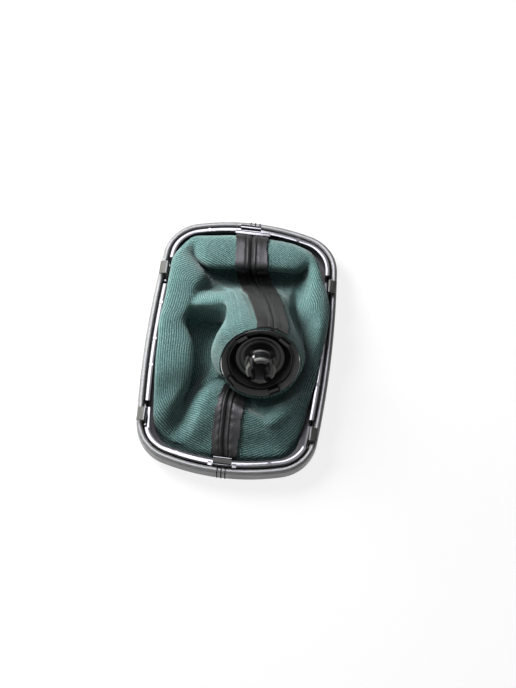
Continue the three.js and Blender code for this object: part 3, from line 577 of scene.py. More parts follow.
# %% Clamp ring
RIB_T, RIB_Z, LEDGE_T = 1.2, 3.4, 1.4
trough = [
    (LEDGE_OUT, RIB_Z), (LEDGE_OUT, LEDGE_Z), (LEDGE_IN, LEDGE_Z), (LEDGE_IN, RIB_Z),
    (LEDGE_IN - RIB_T, RIB_Z), (LEDGE_IN - RIB_T, LEDGE_Z - LEDGE_T),
    (LEDGE_OUT + RIB_T, LEDGE_Z - LEDGE_T), (LEDGE_OUT + RIB_T, RIB_Z),
]
CLIPS = [(42.4, 33.0, 51.0), (-52.1, -59.0, -42.5)]
CLIP_LEN = 8.0
TONGUE_SLOT = (5.9, 8.2)
clip_section = [(5.6, 3.6), (5.6, 14.3), (5.0, 15.2), (4.3, 15.2), (0.4, 13.7), (0.4, 12.7),
                (4.1, 12.3), (4.3, 3.6)]
slots = bmesh.new()
clips = bmesh.new()
for side in (1, -1):
    for y, y0, y1 in CLIPS:
        edge = side_x(y)
        low, high = sorted((side * (edge - 9.5), side * (edge - 2.6)))
        add_box(slots, (low, y0, 6.0), (high, y1, 14.0))
        add_prism(clips, rounded(clip_section, 0.28),
                  lambda o, z, t, side=side, edge=edge, y=y:
                  (side * (edge - o), y - CLIP_LEN / 2 + t, z), CLIP_LEN)
for side in (1, -1):
    low, high = sorted(side * x for x in TONGUE_SLOT)
    add_box(slots, (low, -end_y(0) + 2, 10.4), (high, -end_y(0) + 5.9, 14))
ring = make_piece(spin_round_frame(rounded(trough, 0.35)), "clamp_ring_moulding",
                  [polished_abs], "clamp_ring")
boolean(ring, slots, "DIFFERENCE")

# %% [markdown]
# The rest of the ring's mouldings go into one mesh. The four clips come first, so their faces can
# take the clips' paler grey, a painted sheen. Then come the tongue at the rear, and the shelf and the
# hook at the front, each with its section, corner radius, start across the frame, length and end.
# Two nubs and ten weld spots follow.

# %% Clips, tongue, hook and weld spots
TONGUE = [(8.4, 9.9), (8.4, 15.0), (7.6, 15.2), (5.2, 13.2), (5.0, 9.9)]
SHELF = [(8.7, 9.9), (8.7, 11.3), (6.4, 11.3), (6.4, 9.9)]
HOOK = [(5.6, 10.6), (5.6, 13.4), (4.6, 13.4), (3.0, 12.6), (3.0, 11.9), (4.3, 11.7), (4.3, 10.6)]
AT_THE_ENDS = [(TONGUE, 0.3, -5.3, 10.6, -1), (SHELF, 0.25, -11.3, 21.0, 1),
               (HOOK, 0.2, -8.4, 12.2, 1)]
NUB_Y, NUB_INSET, NUB_SIZE, NUB_Z = (35.0, -57.6), 4.4, 1.8, (5.5, 12.0)
WELD_R, WELD_FOOT, WELD_Z = 1.3, 11.0, 11.6
WELD_X, WELD_Y = (-27, 27), (20.6, -3, -20)
painted_sheen_faces = len(clips.faces)
for section, radius, start, length, end in AT_THE_ENDS:
    add_prism(clips, rounded(section, radius),
              lambda o, z, t, start=start, end=end: (start + t, end * (end_y(0) - o), z), length)
for y in NUB_Y:
    nub_x = -side_x(y) + NUB_INSET
    add_box(clips, (nub_x, y - NUB_SIZE / 2, NUB_Z[0]),
            (nub_x + NUB_SIZE, y + NUB_SIZE / 2, NUB_Z[1]), 0.35)
ledge_mid = (LEDGE_OUT + LEDGE_IN) / 2
for end in (-1, 1):
    for x in WELD_X:
        add_disc(clips, x, end * (end_y(x) - ledge_mid - 0.35), WELD_FOOT, WELD_Z, WELD_R)
    for y in WELD_Y:
        add_disc(clips, end * (side_x(y) - ledge_mid), y, WELD_FOOT, WELD_Z, WELD_R)
bmesh.ops.recalc_face_normals(clips, faces=clips.faces)
# The clips' faces take the paler grey material: a painted sheen.
for face in list(clips.faces)[:painted_sheen_faces]:
    face.material_index = 1
make_piece(clips, "clamp_ring_clips", [polished_abs, clip_painted_sheen_abs], "clamp_ring")

# %% [markdown]
# ## The folds
#
# This table is the bag. Points were picked in the photo at two dozen places round the frame,
# each with a judged height. A separate small program put them through this camera and wrote the rows
# and necks below, so those numbers were not typed by hand. A place is counted in sixteenths of the
# way from the rear seam. The seat is the height at which the sheet turns up from the flat face. The
# rows are outer flank, crest, inner flank, valley and rise, as shares of the opening's half width,
# half length and the ledge's height. The neck is a turn in degrees, a radius and a height in the
# collar's own frame, and the lip is the radius just under the collar, where the cloth bulges out
# beyond it.

# %% Fold table
ROUND = 16.0
REAR_ANGLE, FRONT_ANGLE = -133.0, 73.0
FOLDS = [
    dict(at=0, seat=3.2, lip=23.9, neck=(11, 27.1, -14.5), rows=[
        (-0.03, -0.86, 0.58), (-0.04, -0.7, 0.84), (-0.04, -0.56, 1.06), (-0.03, -0.46, 0.84),
        (-0.01, -0.37, 0.4)]),
    dict(at=1, seat=3, lip=23.9, neck=(12, 26.5, -10.8), rows=[
        (0.53, -0.83, 0.4), (0.48, -0.73, 0.75), (0.42, -0.66, 0.88), (0.36, -0.55, 0.4),
        (0.32, -0.44, 0.19)]),
    dict(at=1.6, seat=3, lip=23.9, neck=(10, 26.7, -9.7), rows=[
        (0.76, -0.82, 0.44), (0.65, -0.73, 0.75), (0.56, -0.68, 1.02), (0.52, -0.55, 0.44),
        (0.47, -0.45, 0.22)]),
    dict(at=2, seat=3, lip=23.9, neck=(12, 26.5, -10.3), rows=[
        (0.9, -0.77, 0.49), (0.81, -0.67, 0.84), (0.73, -0.58, 1.11), (0.66, -0.5, 0.71),
        (0.59, -0.42, 0.27)]),
    dict(at=3, seat=4, lip=23.9, neck=(7, 25.6, -12.7), rows=[
        (1.02, -0.44, 0.8), (1.02, -0.39, 1.19), (0.93, -0.36, 1.19), (0.83, -0.32, 0.71),
        (0.77, -0.29, 0.35)]),
    dict(at=4, seat=4.5, lip=24.4, neck=(2, 25.4, -16.7), rows=[
        (1.06, -0.08, 1.06), (1.1, -0.08, 1.37), (1.01, -0.13, 1.42), (0.93, -0.15, 1.06),
        (0.87, -0.15, 0.62)]),
    dict(at=5, seat=5, lip=25.3, neck=(5, 25.2, -20.4), rows=[
        (1.05, 0.29, 1.08), (1.15, 0.29, 1.59), (1.06, 0.23, 1.86), (0.93, 0.19, 1.42),
        (0.85, 0.14, 0.88)]),
    dict(at=6, seat=5, lip=25, neck=(6, 21.4, -31), rows=[
        (0.98, 0.64, 1.09), (1.02, 0.62, 1.5), (0.91, 0.5, 1.64), (0.81, 0.43, 1.15),
        (0.71, 0.34, 0.8)]),
    dict(at=6.5, seat=5.2, lip=24.6, neck=(6, 22.9, -36.2), rows=[
        (0.84, 0.89, 1.09), (0.85, 0.82, 1.5), (0.82, 0.76, 1.24), (0.74, 0.77, 0.4),
        (0.64, 0.63, 0.35)]),
    dict(at=7, seat=5.5, lip=24.2, neck=(5, 23.5, -39.8), rows=[
        (0.61, 0.96, 1.06), (0.6, 0.9, 1.44), (0.63, 0.72, 1.45), (0.65, 0.76, 0.4),
        (0.55, 0.63, 0.31)]),
    dict(at=8, seat=6, lip=24, neck=(7, 21.5, -36.5), rows=[
        (-0.01, 1, 1.06), (-0.01, 0.93, 1.44), (0.02, 0.7, 1.45), (0.01, 0.76, 0.31),
        (0.09, 0.62, 0.27)]),
    dict(at=9, seat=6, lip=24.8, neck=(15, 26.2, -33.3), rows=[
        (-0.63, 0.96, 1.06), (-0.62, 0.9, 1.44), (-0.53, 0.67, 1.43), (-0.51, 0.73, 0.31),
        (-0.3, 0.58, 0.31)]),
    dict(at=9.55, seat=6, lip=25.3, neck=(11, 28.6, -34.9), rows=[
        (-0.86, 0.91, 1.06), (-0.83, 0.86, 1.28), (-0.76, 0.74, 1.02), (-0.64, 0.68, 0.53),
        (-0.4, 0.57, 0.4)]),
    dict(at=9.92, seat=6, lip=26.2, neck=(10, 29.3, -38.1), rows=[
        (-1, 0.78, 1.15), (-0.98, 0.69, 1.68), (-0.61, 0.56, 1.59), (-0.52, 0.57, 0.71),
        (-0.33, 0.5, 0.75)]),
    dict(at=10.5, seat=6, lip=26.8, neck=(3, 30.9, -35.7), rows=[
        (-1.04, 0.58, 1.15), (-1.01, 0.55, 1.68), (-0.73, 0.41, 1.81), (-0.62, 0.37, 1.59),
        (-0.44, 0.37, 1.73)]),
    dict(at=11.1, seat=6, lip=27.5, neck=(-2, 29.8, -29.9), rows=[
        (-1.05, 0.32, 1.15), (-1.04, 0.31, 1.68), (-0.77, 0.29, 1.81), (-0.68, 0.27, 1.77),
        (-0.49, 0.25, 2.26)]),
    dict(at=11.4, seat=6, lip=28, neck=(-5, 25.6, -29.4), rows=[
        (-1.06, 0.21, 1.15), (-1.04, 0.2, 1.68), (-0.78, 0.19, 1.73), (-0.69, 0.23, 1.55),
        (-0.45, 0.22, 1.95)]),
    dict(at=11.65, seat=6, lip=28.5, neck=(21, 19.5, -35), rows=[
        (-1.06, 0.11, 1.15), (-1.05, 0.13, 1.68), (-0.79, 0.12, 1.68), (-0.75, 0.17, 0.35),
        (-0.31, 0.23, 0.27)]),
    dict(at=12.4, seat=6, lip=28, neck=(34, 24.6, -29.2), rows=[
        (-1.05, -0.17, 1.15), (-1.04, -0.14, 1.64), (-0.63, -0.09, 1.64), (-0.63, -0.06, 0.27),
        (-0.35, -0.01, 0.23)]),
    dict(at=13, seat=5, lip=27.8, neck=(36, 28.1, -22.1), rows=[
        (-1.02, -0.42, 1.06), (-1, -0.37, 1.46), (-0.58, -0.27, 1.46), (-0.61, -0.26, 0.27),
        (-0.36, -0.2, 0.25)]),
    dict(at=13.6, seat=4.5, lip=27.2, neck=(30, 29.6, -17.3), rows=[
        (-0.99, -0.63, 0.88), (-0.94, -0.56, 1.15), (-0.62, -0.44, 1.11), (-0.59, -0.43, 0.3),
        (-0.42, -0.33, 0.4)]),
    dict(at=14, seat=3.5, lip=26.6, neck=(26, 29.2, -14.8), rows=[
        (-0.95, -0.78, 0.71), (-0.83, -0.67, 1.06), (-0.69, -0.56, 0.93), (-0.61, -0.45, 0.28),
        (-0.43, -0.36, 0.53)]),
    dict(at=14.5, seat=3.2, lip=25.8, neck=(21, 28.5, -14.5), rows=[
        (-0.73, -0.89, 0.4), (-0.66, -0.78, 0.4), (-0.61, -0.63, 0.32), (-0.56, -0.47, 0.3),
        (-0.37, -0.38, 0.62)]),
    dict(at=15, seat=3, lip=24.5, neck=(18, 27.9, -14.9), rows=[
        (-0.45, -0.91, 0.44), (-0.41, -0.8, 0.84), (-0.36, -0.64, 1.06), (-0.29, -0.48, 1.06),
        (-0.19, -0.37, 0.71)]),
]


# %% [markdown]
# ## The surface
#
# Between the table's places the sheet follows smooth curves: round the frame in one direction and
# from the rim to the collar in the other. Both are cubic curves with their tangents worked out
# from the neighbours, written for whole arrays of points at once.

# %% Curves through the table
def hermite(a, ma, b, mb, t):
    t2, t3 = t * t, t * t * t
    return (2 * t3 - 3 * t2 + 1) * a + (t3 - 2 * t2 + t) * ma + (3 * t2 - 2 * t3) * b \
        + (t3 - t2) * mb


PLACES = np.array([fold["at"] for fold in FOLDS])


def read_round(values, u):
    """Reads one value of the folds at the places u, on a smooth closed curve.

    A height (the third number) never swings past its neighbours in the table, so a steep fold
    stays crisp and no valley dips through the floor.
    """
    values = np.asarray(values, float)
    n = len(PLACES)
    v = np.mod(u, ROUND)
    i = np.searchsorted(PLACES, v, side="right") - 1
    at = [PLACES[(i + k) % n] + ROUND * ((i + k) // n) for k in (-1, 0, 1, 2)]
    p = [values[(i + k) % n] for k in (-1, 0, 1, 2)]
    h = [(at[k + 1] - at[k])[:, None] for k in range(3)]
    d = [(p[k + 1] - p[k]) / h[k] for k in range(3)]
    slopes = []
    for k in (0, 1):
        mean = (h[k + 1] * d[k] + h[k] * d[k + 1]) / (h[k] + h[k + 1])
        limit = 3 * np.minimum(abs(d[k]), abs(d[k + 1])) * (d[k] * d[k + 1] > 0)
        mean[:, 2:] = np.clip(mean, -limit, limit)[:, 2:]
        slopes.append(h[1] * mean)
    return hermite(p[1], slopes[0], p[2], slopes[1], (v - at[1])[:, None] / h[1])


def span_point(points, span, t):
    """A point on the curve through a column's control points, for all columns at once."""
    n = len(points)
    p1, p2 = points[span], points[span + 1]
    p0 = points[span - 1] if span > 0 else 2 * p1 - p2
    p3 = points[span + 2] if span + 2 < n else 2 * p2 - p1
    pull = [np.sqrt(np.maximum(np.linalg.norm(b - a, axis=1), 0.4))[:, None]
            for a, b in ((p0, p1), (p1, p2), (p2, p3))]
    k0, k1, k2 = pull
    m1 = k1 * ((p1 - p0) / k0 - (p2 - p0) / (k0 + k1) + (p2 - p1) / k1)
    m2 = k1 * ((p2 - p1) / k1 - (p3 - p1) / (k1 + k2) + (p3 - p2) / k2)
    return hermite(p1, m1, p2, m2, t)


# %% The collar's own frame
COLLAR_POSE = (Matrix.Translation(COLLAR_AT * MM) @ Matrix.Rotation(COLLAR_TURN, 4, "Z")
               @ Matrix.Rotation(COLLAR_TILT, 4, "X"))
COLLAR_TURN_NP = np.array(COLLAR_POSE.to_3x3())
LIP_Z, TUCK_Z = -6.5, -0.35


def collar_points(degrees, radius, z):
    """Points in mm from angles, radii and heights in the collar's frame."""
    angle = np.radians(degrees)
    local = np.stack([radius * np.cos(angle), radius * np.sin(angle), z * np.ones_like(angle)], 1)
    return local @ COLLAR_TURN_NP.T + np.array(COLLAR_AT)


def collar_angle(u):
    """The collar's angle at a place round the frame. It runs on past a full turn."""
    half = ROUND / 2
    lap = np.floor(u / ROUND)
    v = u - lap * ROUND
    front = REAR_ANGLE + (FRONT_ANGLE - REAR_ANGLE) * v / half
    rear = FRONT_ANGLE + (360 + REAR_ANGLE - FRONT_ANGLE) * (v - half) / half
    return np.where(v <= half, front, rear) + 360 * lap


def bag_row(row, u):
    """One control row of the bag at the places u, in mm."""
    if row < 5:
        share = read_round([fold["rows"][row] for fold in FOLDS], u)
        return share * np.array([OPEN_X, OPEN_Y, LEDGE_Z])
    if row == 5:
        turn, radius, z = read_round([fold["neck"] for fold in FOLDS], u).T
        return collar_points(collar_angle(u) + turn, radius, z)
    if row == 6:
        lip = read_round([[fold["lip"]] for fold in FOLDS], u)[:, 0]
        return collar_points(collar_angle(u), lip, LIP_Z)
    return collar_points(collar_angle(u), NECK_R - 0.05, TUCK_Z)


# %% [markdown]
# ## The panels
#
# Each panel is one sheet. It starts under the clamp ring, goes over the bead and down the rim wall,
# turns in along the flat face, rises into the bag and ends on the collar. A seam strip is the
# panel's own edge, folded back on itself and sewn down, so it keeps its width in every row.

# %% Panel rows
BEAD_Z, BEND_R = 8.9, 2.0
STRIP_COLUMNS = 8
PANEL_COLUMNS = 168
SPAN_STEPS = (3, 4, 12, 12, 16, 18, 18, 22, 8, 5)


def wrap_rows():
    """The sheet's middle line round the carrier: offset, height and the textile's direction."""
    inner = WALL_IN + SHEET_GAP + HALF_T
    bead = (inner - HALF_T) / 2
    rows = [(inner, z, -1.0, 0.0) for z in (4.5, 6.0, 7.5)]
    for a in np.radians(np.linspace(0, 180, 13)):
        rows.append((HALF_T + bead + bead * math.cos(a), BEAD_Z + bead * math.sin(a),
                     -math.cos(a), -math.sin(a)))
    rows += [(HALF_T, z, 1.0, 0.0) for z in (7.6, 6.2, 4.8, 3.6)]
    for a in np.radians(np.linspace(0, 90, 7)):
        rows.append((HALF_T + BEND_R - BEND_R * math.cos(a), HALF_T + BEND_R - BEND_R * math.sin(a),
                     math.cos(a), math.sin(a)))
    rows += [(o, HALF_T, 0.0, 1.0) for o in (5.0, 8.0, FLANGE_END + 0.3)]
    return rows


WRAP = wrap_rows()


def spread(first, last, width_first, width_last):
    """Places of the columns: a strip of even columns at each seam and even columns between."""
    inner = np.linspace(first + width_first, last - width_last, PANEL_COLUMNS - 2 * STRIP_COLUMNS + 1)
    lead = np.linspace(first, first + width_first, STRIP_COLUMNS + 1)[:-1]
    tail = np.linspace(last - width_last, last, STRIP_COLUMNS + 1)[1:]
    return np.concatenate([lead, inner, tail])


def row_places(row, first, last):
    """The same for one bag row: the strips' width in millimetres becomes a share of the round."""
    widths = []
    for seam, way in ((first, 1), (last, -1)):
        step = 0.02
        ends = bag_row(row, np.array([seam, seam + way * step]))
        speed = np.linalg.norm(ends[1] - ends[0]) / step
        width = STRIP_REAR if seam % ROUND == 0 else STRIP_FRONT
        widths.append(min(1.3, width / speed))
    return spread(first, last, *widths)


def panel_points(first):
    """All middle points of a panel, as rows of columns, and the textile direction on the wrap."""
    last = first + ROUND / 2
    per_mm = ROUND / (4 * QUARTER)
    strips = [(STRIP_REAR if seam % ROUND == 0 else STRIP_FRONT) * per_mm for seam in (first, last)]
    base = spread(first, last, *strips)
    arc = base / per_mm
    rim = lambda o, z: np.array([rim_point(s % (4 * QUARTER), o, z) for s in arc])
    out = np.array([(*rim_sample(s % (4 * QUARTER))[1], 0.0) for s in arc])
    rows = [rim(o, z) for o, z, _, _ in WRAP]
    sides = [-out * across + np.array([0, 0, up]) for _, _, across, up in WRAP]
    seat = read_round([[fold["seat"]] for fold in FOLDS], base)
    turn_up = rim(SEAT_O + 0.3, 0.0)
    turn_up[:, 2] = seat[:, 0]
    control = [rim(FLANGE_END + 0.3, HALF_T), rim(SEAT_O - 0.6, 1.9), turn_up]
    control += [bag_row(row, row_places(row, first, last)) for row in range(8)]
    for span, steps in enumerate(SPAN_STEPS):
        rows += [span_point(control, span, q / steps) for q in range(1, steps + 1)]
    return np.array(rows), np.array(sides), base


points_right, sides_right, places_right = panel_points(0.0)
points_left, sides_left, places_left = panel_points(ROUND / 2)
print("panel grid:", points_right.shape[:2])


# %% Directions over a panel
def unit(a):
    return a / np.maximum(np.linalg.norm(a, axis=-1, keepdims=True), 1e-9)


def directions(points, sides, other):
    """Textile directions and the directions square to the seams, shared by both panels."""
    wide = np.concatenate([other[:, -2:-1], points, other[:, 1:2]], axis=1)
    du = wide[:, 2:] - wide[:, :-2]
    dv = np.gradient(points, axis=0)
    normal = unit(np.cross(du, dv))
    normal[:len(sides)] = sides
    across = unit(np.cross(dv, normal))
    return normal, across


# %% [markdown]
# The panels' fine shape comes on top of the folds. A crumpled sheet is never as even as a table,
# so a soft noise of a few tenths of a millimetre is added along the surface's direction. Near the
# collar, where the neck is gathered, small pleats run down from its edge. The wrap round the frame
# is pulled tight and gets none of it.

# %% Creases and gathers
WAVE_SIZE, WAVE_DEPTH = 17.0, 0.75
CREASE_SIZE, CREASE_DEPTH = 6.5, 0.22
GATHER_DEPTH, GATHER_ROWS, GATHER_REACH = 0.12, 14, 11.0
TIGHT_ROWS, HELD_ROWS, FADE_IN, FADE_OUT = 8, 8, 12, 10


def surface_noise(points, size):
    flat = points.reshape(-1, 3) / size
    return np.array([noise.noise(Vector(p)) for p in flat]).reshape(points.shape[:2])


def creased(points, normal, places):
    """The panel's points with waves, small creases and the collar's gathers."""
    count = len(points)
    row = np.arange(count)[:, None]
    start = len(WRAP) + TIGHT_ROWS
    bag = np.clip((row - start) / FADE_IN, 0, 1)
    bag = bag * np.clip((count - HELD_ROWS - row) / FADE_OUT, 0, 1)
    gather = np.exp(-((count - GATHER_ROWS - row) / GATHER_REACH) ** 2)
    pleats = np.sin(2 * math.pi * (places[None, :] * 2.6 + 0.4 * np.sin(places[None, :] * 3.1)))
    seam = np.minimum(places - places[0], places[-1] - places)[None, :]
    pleats = pleats * np.clip((seam - 0.3) / 0.5, 0, 1)
    offset = bag * (WAVE_DEPTH * surface_noise(points, WAVE_SIZE)
                    + CREASE_DEPTH * surface_noise(points + 40, CREASE_SIZE))
    offset = offset + gather * GATHER_DEPTH * pleats
    return points + normal * offset[..., None]


# %% [markdown]
# The cloth map follows the cut. Along the sides the ribs run with the frame's edge, and towards
# either seam they cross it. Both panels were cut with the same grain, so at the front the ribs lean
# the same way on both sides of the seam, and at the rear they make a flat V. Cloth lies straighter
# than its creases, so the map is smoothed along the edge.

# %% Cloth map
FRONT_SLANT, REAR_SLANT, SLANT_REACH = 0.6, 0.3, 58.0
SMOOTH_COLUMNS = 14


def cloth_map(points, places):
    """U and V in metres of cloth for each grid point."""
    step = np.linalg.norm(np.diff(points, axis=0), axis=2)
    v = np.concatenate([np.zeros((1, points.shape[1])), np.cumsum(step, axis=0)])
    u = np.broadcast_to(places[None, :] * 4 * QUARTER / ROUND, v.shape)
    weights = np.hanning(2 * SMOOTH_COLUMNS + 1)[1:-1]
    padded = np.pad(v, ((0, 0), (SMOOTH_COLUMNS - 1, SMOOTH_COLUMNS - 1)), mode="edge")
    v = np.array([np.convolve(line, weights / weights.sum(), mode="valid") for line in padded])
    per_place = 4 * QUARTER / ROUND
    from_front = (places - ROUND / 2) * per_place
    from_rear = np.minimum(places, ROUND - places) * per_place
    slant = FRONT_SLANT * SLANT_REACH * np.tanh(from_front / SLANT_REACH)
    slant -= REAR_SLANT * SLANT_REACH * np.tanh(from_rear / SLANT_REACH)
    return u * MM, (v + slant[None, :]) * MM


# %% [markdown]
# bmesh makes the grid, the panel's places move its points, and the seam strips are extruded from
# its edges: once round the fold and then back across the panel. Solidify then gives the sheet its
# 1.1 mm, with the leather on the other side.

# %% Panel mesh
FOLD_R = HALF_T + SEAM_GAP / 2
FOLD_STEPS = 6
STRIP_FROM = len(WRAP) + SPAN_STEPS[0] + 1
STRIP_TRIM = len(WRAP) + sum(SPAN_STEPS[:7]) - 1
SHEET_MATERIALS = [textile, rim_leather_painted_sheen, textile, strip_leather, cut_edge]
STRIP_FRONT_INDEX, TO_BACK, TO_RIM = 2, 1, 2
STRIP_LINES = [0.0, 0.03, 0.06, 0.1, 0.14, 0.18, 0.22, 0.26, 0.285, 0.3, 0.315, 0.34, 0.38, 0.44,
               0.54, 0.66, 0.8, 0.92, 1.0]
STITCH_SHARE = 0.3


def cut_back(points, across, until):
    """Moves the columns next to each seam back, further where a strip is folded over."""
    rows = np.arange(len(points))
    for column, sign, end in ((0, 1, until[0]), (-1, -1, until[1])):
        blend = np.clip((rows - STRIP_FROM + 3) / 3, 0, 1)
        back = SEAM_GAP / 2 + blend * (HALF_T + FOLD_R)
        back[rows > end] = 2 * SEAM_GAP
        near = [1, 2, 3] if column == 0 else [-2, -3, -4]
        points[:, column] += sign * back[:, None] * across[:, column]
        for k, j in enumerate(near):
            points[:, j] += sign * back[:, None] * across[:, j] * (0.75 - 0.25 * k)
    return points


def strip_swell(share):
    """How far a strip stands up: a plump ridge by the fold, a stitched groove, a flat edge."""
    ridge = 0.55 * math.exp(-((share - 0.14) / 0.09) ** 2)
    groove = -0.45 * math.exp(-((share - STITCH_SHARE) / 0.03) ** 2)
    cushion = 0.22 * math.exp(-((share - 0.5) / 0.14) ** 2)
    return ridge + groove + cushion


def over_panel(points, normal, column, share, lift):
    """A line over the panel at a share of the strip's width in from the seam."""
    step = 1 if column == 0 else -1
    place = share * STRIP_COLUMNS
    k = min(int(place), STRIP_COLUMNS - 1)
    j, t = column + step * k, place - k
    base = points[:, j] * (1 - t) + points[:, j + step] * t
    up = unit(normal[:, j] * (1 - t) + normal[:, j + step] * t)
    lift = np.asarray(lift)
    return base + up * (lift[:, None] if lift.ndim else lift), up


def strip_rows(points, normal, across, end, column):
    """Middle points of a seam strip: round the fold, then over the panel's own columns."""
    step = 1 if column == 0 else -1
    inward = across[:, column] * step
    base, up = points[:, column], normal[:, column]
    lines = []
    for a in np.radians(np.linspace(0, 180, FOLD_STEPS + 1))[1:-1]:
        lines.append(base + up * FOLD_R * (1 - math.cos(a)) - inward * FOLD_R * math.sin(a))
    rows = np.arange(len(points))
    for share in STRIP_LINES:
        pucker = 0.14 * np.sin(rows * 0.9 + 3 * share) * math.exp(-((share - 0.4) / 0.2) ** 2)
        ragged = 0.25 * np.sin(rows * 0.37) + 0.2 * np.sin(rows * 1.13)
        line, _ = over_panel(points, normal, column, share, 2 * FOLD_R + strip_swell(share) + pucker)
        if share == 1.0:
            line = line + inward * ragged[:, None]
        lines.append(line)
    return [line[STRIP_FROM:end + 1] for line in lines]


def build_panel(name, node, points, sides, places, other, until):
    normal, across = directions(points, sides, other)
    points = creased(points, normal, places)
    points = cut_back(points, across, until)
    rows, columns = points.shape[:2]
    u, v = cloth_map(points, places)
    bm = bmesh.new()
    bmesh.ops.create_grid(bm, x_segments=columns - 1, y_segments=rows - 1, size=1.0)
    uv_layer = bm.loops.layers.uv.new("cloth")
    cell = {}
    for vert in bm.verts:
        c = round((vert.co.x + 1) / 2 * (columns - 1))
        r = round((vert.co.y + 1) / 2 * (rows - 1))
        cell[vert] = (r, c)
        vert.co = points[r, c] * MM
    grid = {place: vert for vert, place in cell.items()}
    for face in bm.faces:
        for loop in face.loops:
            r, c = cell[loop.vert]
            loop[uv_layer].uv = (u[r, c], v[r, c])
    for column, end in ((0, until[0]), (columns - 1, until[1])):
        edge_verts = [grid[r, column] for r in range(STRIP_FROM, end + 1)]
        index = 0 if column == 0 else -1
        for line in strip_rows(points, normal, across, end, index):
            edges = [bm.edges.get(pair) for pair in zip(edge_verts, edge_verts[1:])]
            out = bmesh.ops.extrude_edge_only(bm, edges=edges)
            for face in (g for g in out["geom"] if isinstance(g, bmesh.types.BMFace)):
                face.material_index = STRIP_FRONT_INDEX
            fresh = [g for g in out["geom"] if isinstance(g, bmesh.types.BMVert)]
            partner = {}
            for vert in fresh:
                for edge in vert.link_edges:
                    mate = edge.other_vert(vert)
                    if mate not in fresh:
                        partner[mate] = vert
            edge_verts = [partner[vert] for vert in edge_verts]
            for vert, place in zip(edge_verts, line):
                vert.co = place * MM
    bmesh.ops.recalc_face_normals(bm, faces=bm.faces)
    bm.faces.ensure_lookup_table()
    probe = grid[len(WRAP) + 40, columns // 2]
    if probe.link_faces[0].normal.z < 0:
        bmesh.ops.reverse_faces(bm, faces=bm.faces)
    piece = make_piece(bm, name, SHEET_MATERIALS, node,
                       smooth=math.radians(80))
    thick = piece.modifiers.new("thickness", "SOLIDIFY")
    thick.thickness = SHEET_T * MM
    thick.offset = 0.0
    thick.use_even_offset = False
    thick.material_offset = TO_BACK
    thick.material_offset_rim = TO_RIM
    return piece, points, normal


last_row = len(points_right) - 1
right_made = build_panel("gaiter_sheet_right", "gaiter_panel_right", points_right, sides_right,
                         places_right, points_left, (STRIP_TRIM, last_row))
left_made = build_panel("gaiter_sheet_left", "gaiter_panel_left", points_left, sides_left,
                        places_left, points_right, (last_row, STRIP_TRIM))

# %% [markdown]
# ## Topstitching
#
# A row of stitches holds each strip down. A stitch is a small sphere, drawn out along the seam and
# sunk into the leather. The same rows run on over the rim, with thicker thread beside the seam.
# Between the strips the closing seam's own thread fills the joint, so no light comes through it.

# %% Stitches
STITCH_LEN, STITCH_PITCH, STITCH_R = 2.3, 3.1, 0.27
CLOSING_PITCH, CLOSING_LIFT = 1.9, FOLD_R
RIM_STITCH_R, RIM_ROWS, SUNK = 0.42, slice(6, 26), 0.03


def add_stitch(bm, place, along, up, radius):
    made = bmesh.ops.create_uvsphere(bm, u_segments=8, v_segments=6, radius=radius * MM)["verts"]
    bmesh.ops.scale(bm, verts=made, vec=(STITCH_LEN / 2 / radius, 1.0, 0.8))
    x = Vector(along).normalized()
    z = (Vector(up) - x * x.dot(Vector(up))).normalized()
    turn = Matrix((x, z.cross(x), z)).transposed().to_4x4()
    bmesh.ops.transform(bm, verts=made, matrix=Matrix.Translation(Vector(place) * MM) @ turn)


def stitch_line(bm, line, up, pitch=STITCH_PITCH, radius=STITCH_R):
    """Stitches at an even pitch along a line of points."""
    step = np.linalg.norm(np.diff(line, axis=0), axis=1)
    run = np.concatenate([[0], np.cumsum(step)])
    for at in np.arange(pitch / 2, run[-1] - STITCH_LEN / 2, pitch):
        place = [np.interp(at, run, line[:, k]) for k in range(3)]
        ahead = [np.interp(at + 0.8, run, line[:, k]) for k in range(3)]
        behind = [np.interp(at - 0.8, run, line[:, k]) for k in range(3)]
        facing = [np.interp(at, run, up[:, k]) for k in range(3)]
        add_stitch(bm, place, np.array(ahead) - np.array(behind), facing, radius)


def topstitching():
    bm = bmesh.new()
    top = 2 * FOLD_R + HALF_T + strip_swell(STITCH_SHARE) + 0.02
    for points, normal, ends in ((*right_made[1:], (STRIP_TRIM, last_row)),
                                 (*left_made[1:], (last_row, STRIP_TRIM))):
        for column, end in zip((0, points.shape[1] - 1), ends):
            lifted, up = over_panel(points, normal, column, STITCH_SHARE, top)
            stitch_line(bm, lifted[STRIP_FROM + 2:end - 2], up[STRIP_FROM + 2:end - 2])
            rim_line, up = over_panel(points, normal, column, STITCH_SHARE, -HALF_T - SUNK)
            stitch_line(bm, rim_line[RIM_ROWS], -up[RIM_ROWS], STITCH_LEN, RIM_STITCH_R)
            facing = normal[RIM_ROWS, column]
            outside = points[RIM_ROWS, column] - facing * HALF_T
            stitch_line(bm, outside, facing, CLOSING_PITCH, RIM_STITCH_R)
    for here, there, end in ((0, -1, STRIP_TRIM), (-1, 0, last_row)):
        middle = (right_made[1][:end, here] + left_made[1][:end, there]) / 2
        facing = (right_made[2][:end, here] + left_made[2][:end, there]) / 2
        stitch_line(bm, middle + facing * CLOSING_LIFT, facing, CLOSING_PITCH)
    return make_piece(bm, "gaiter_topstitching", [thread])


stitches = topstitching()
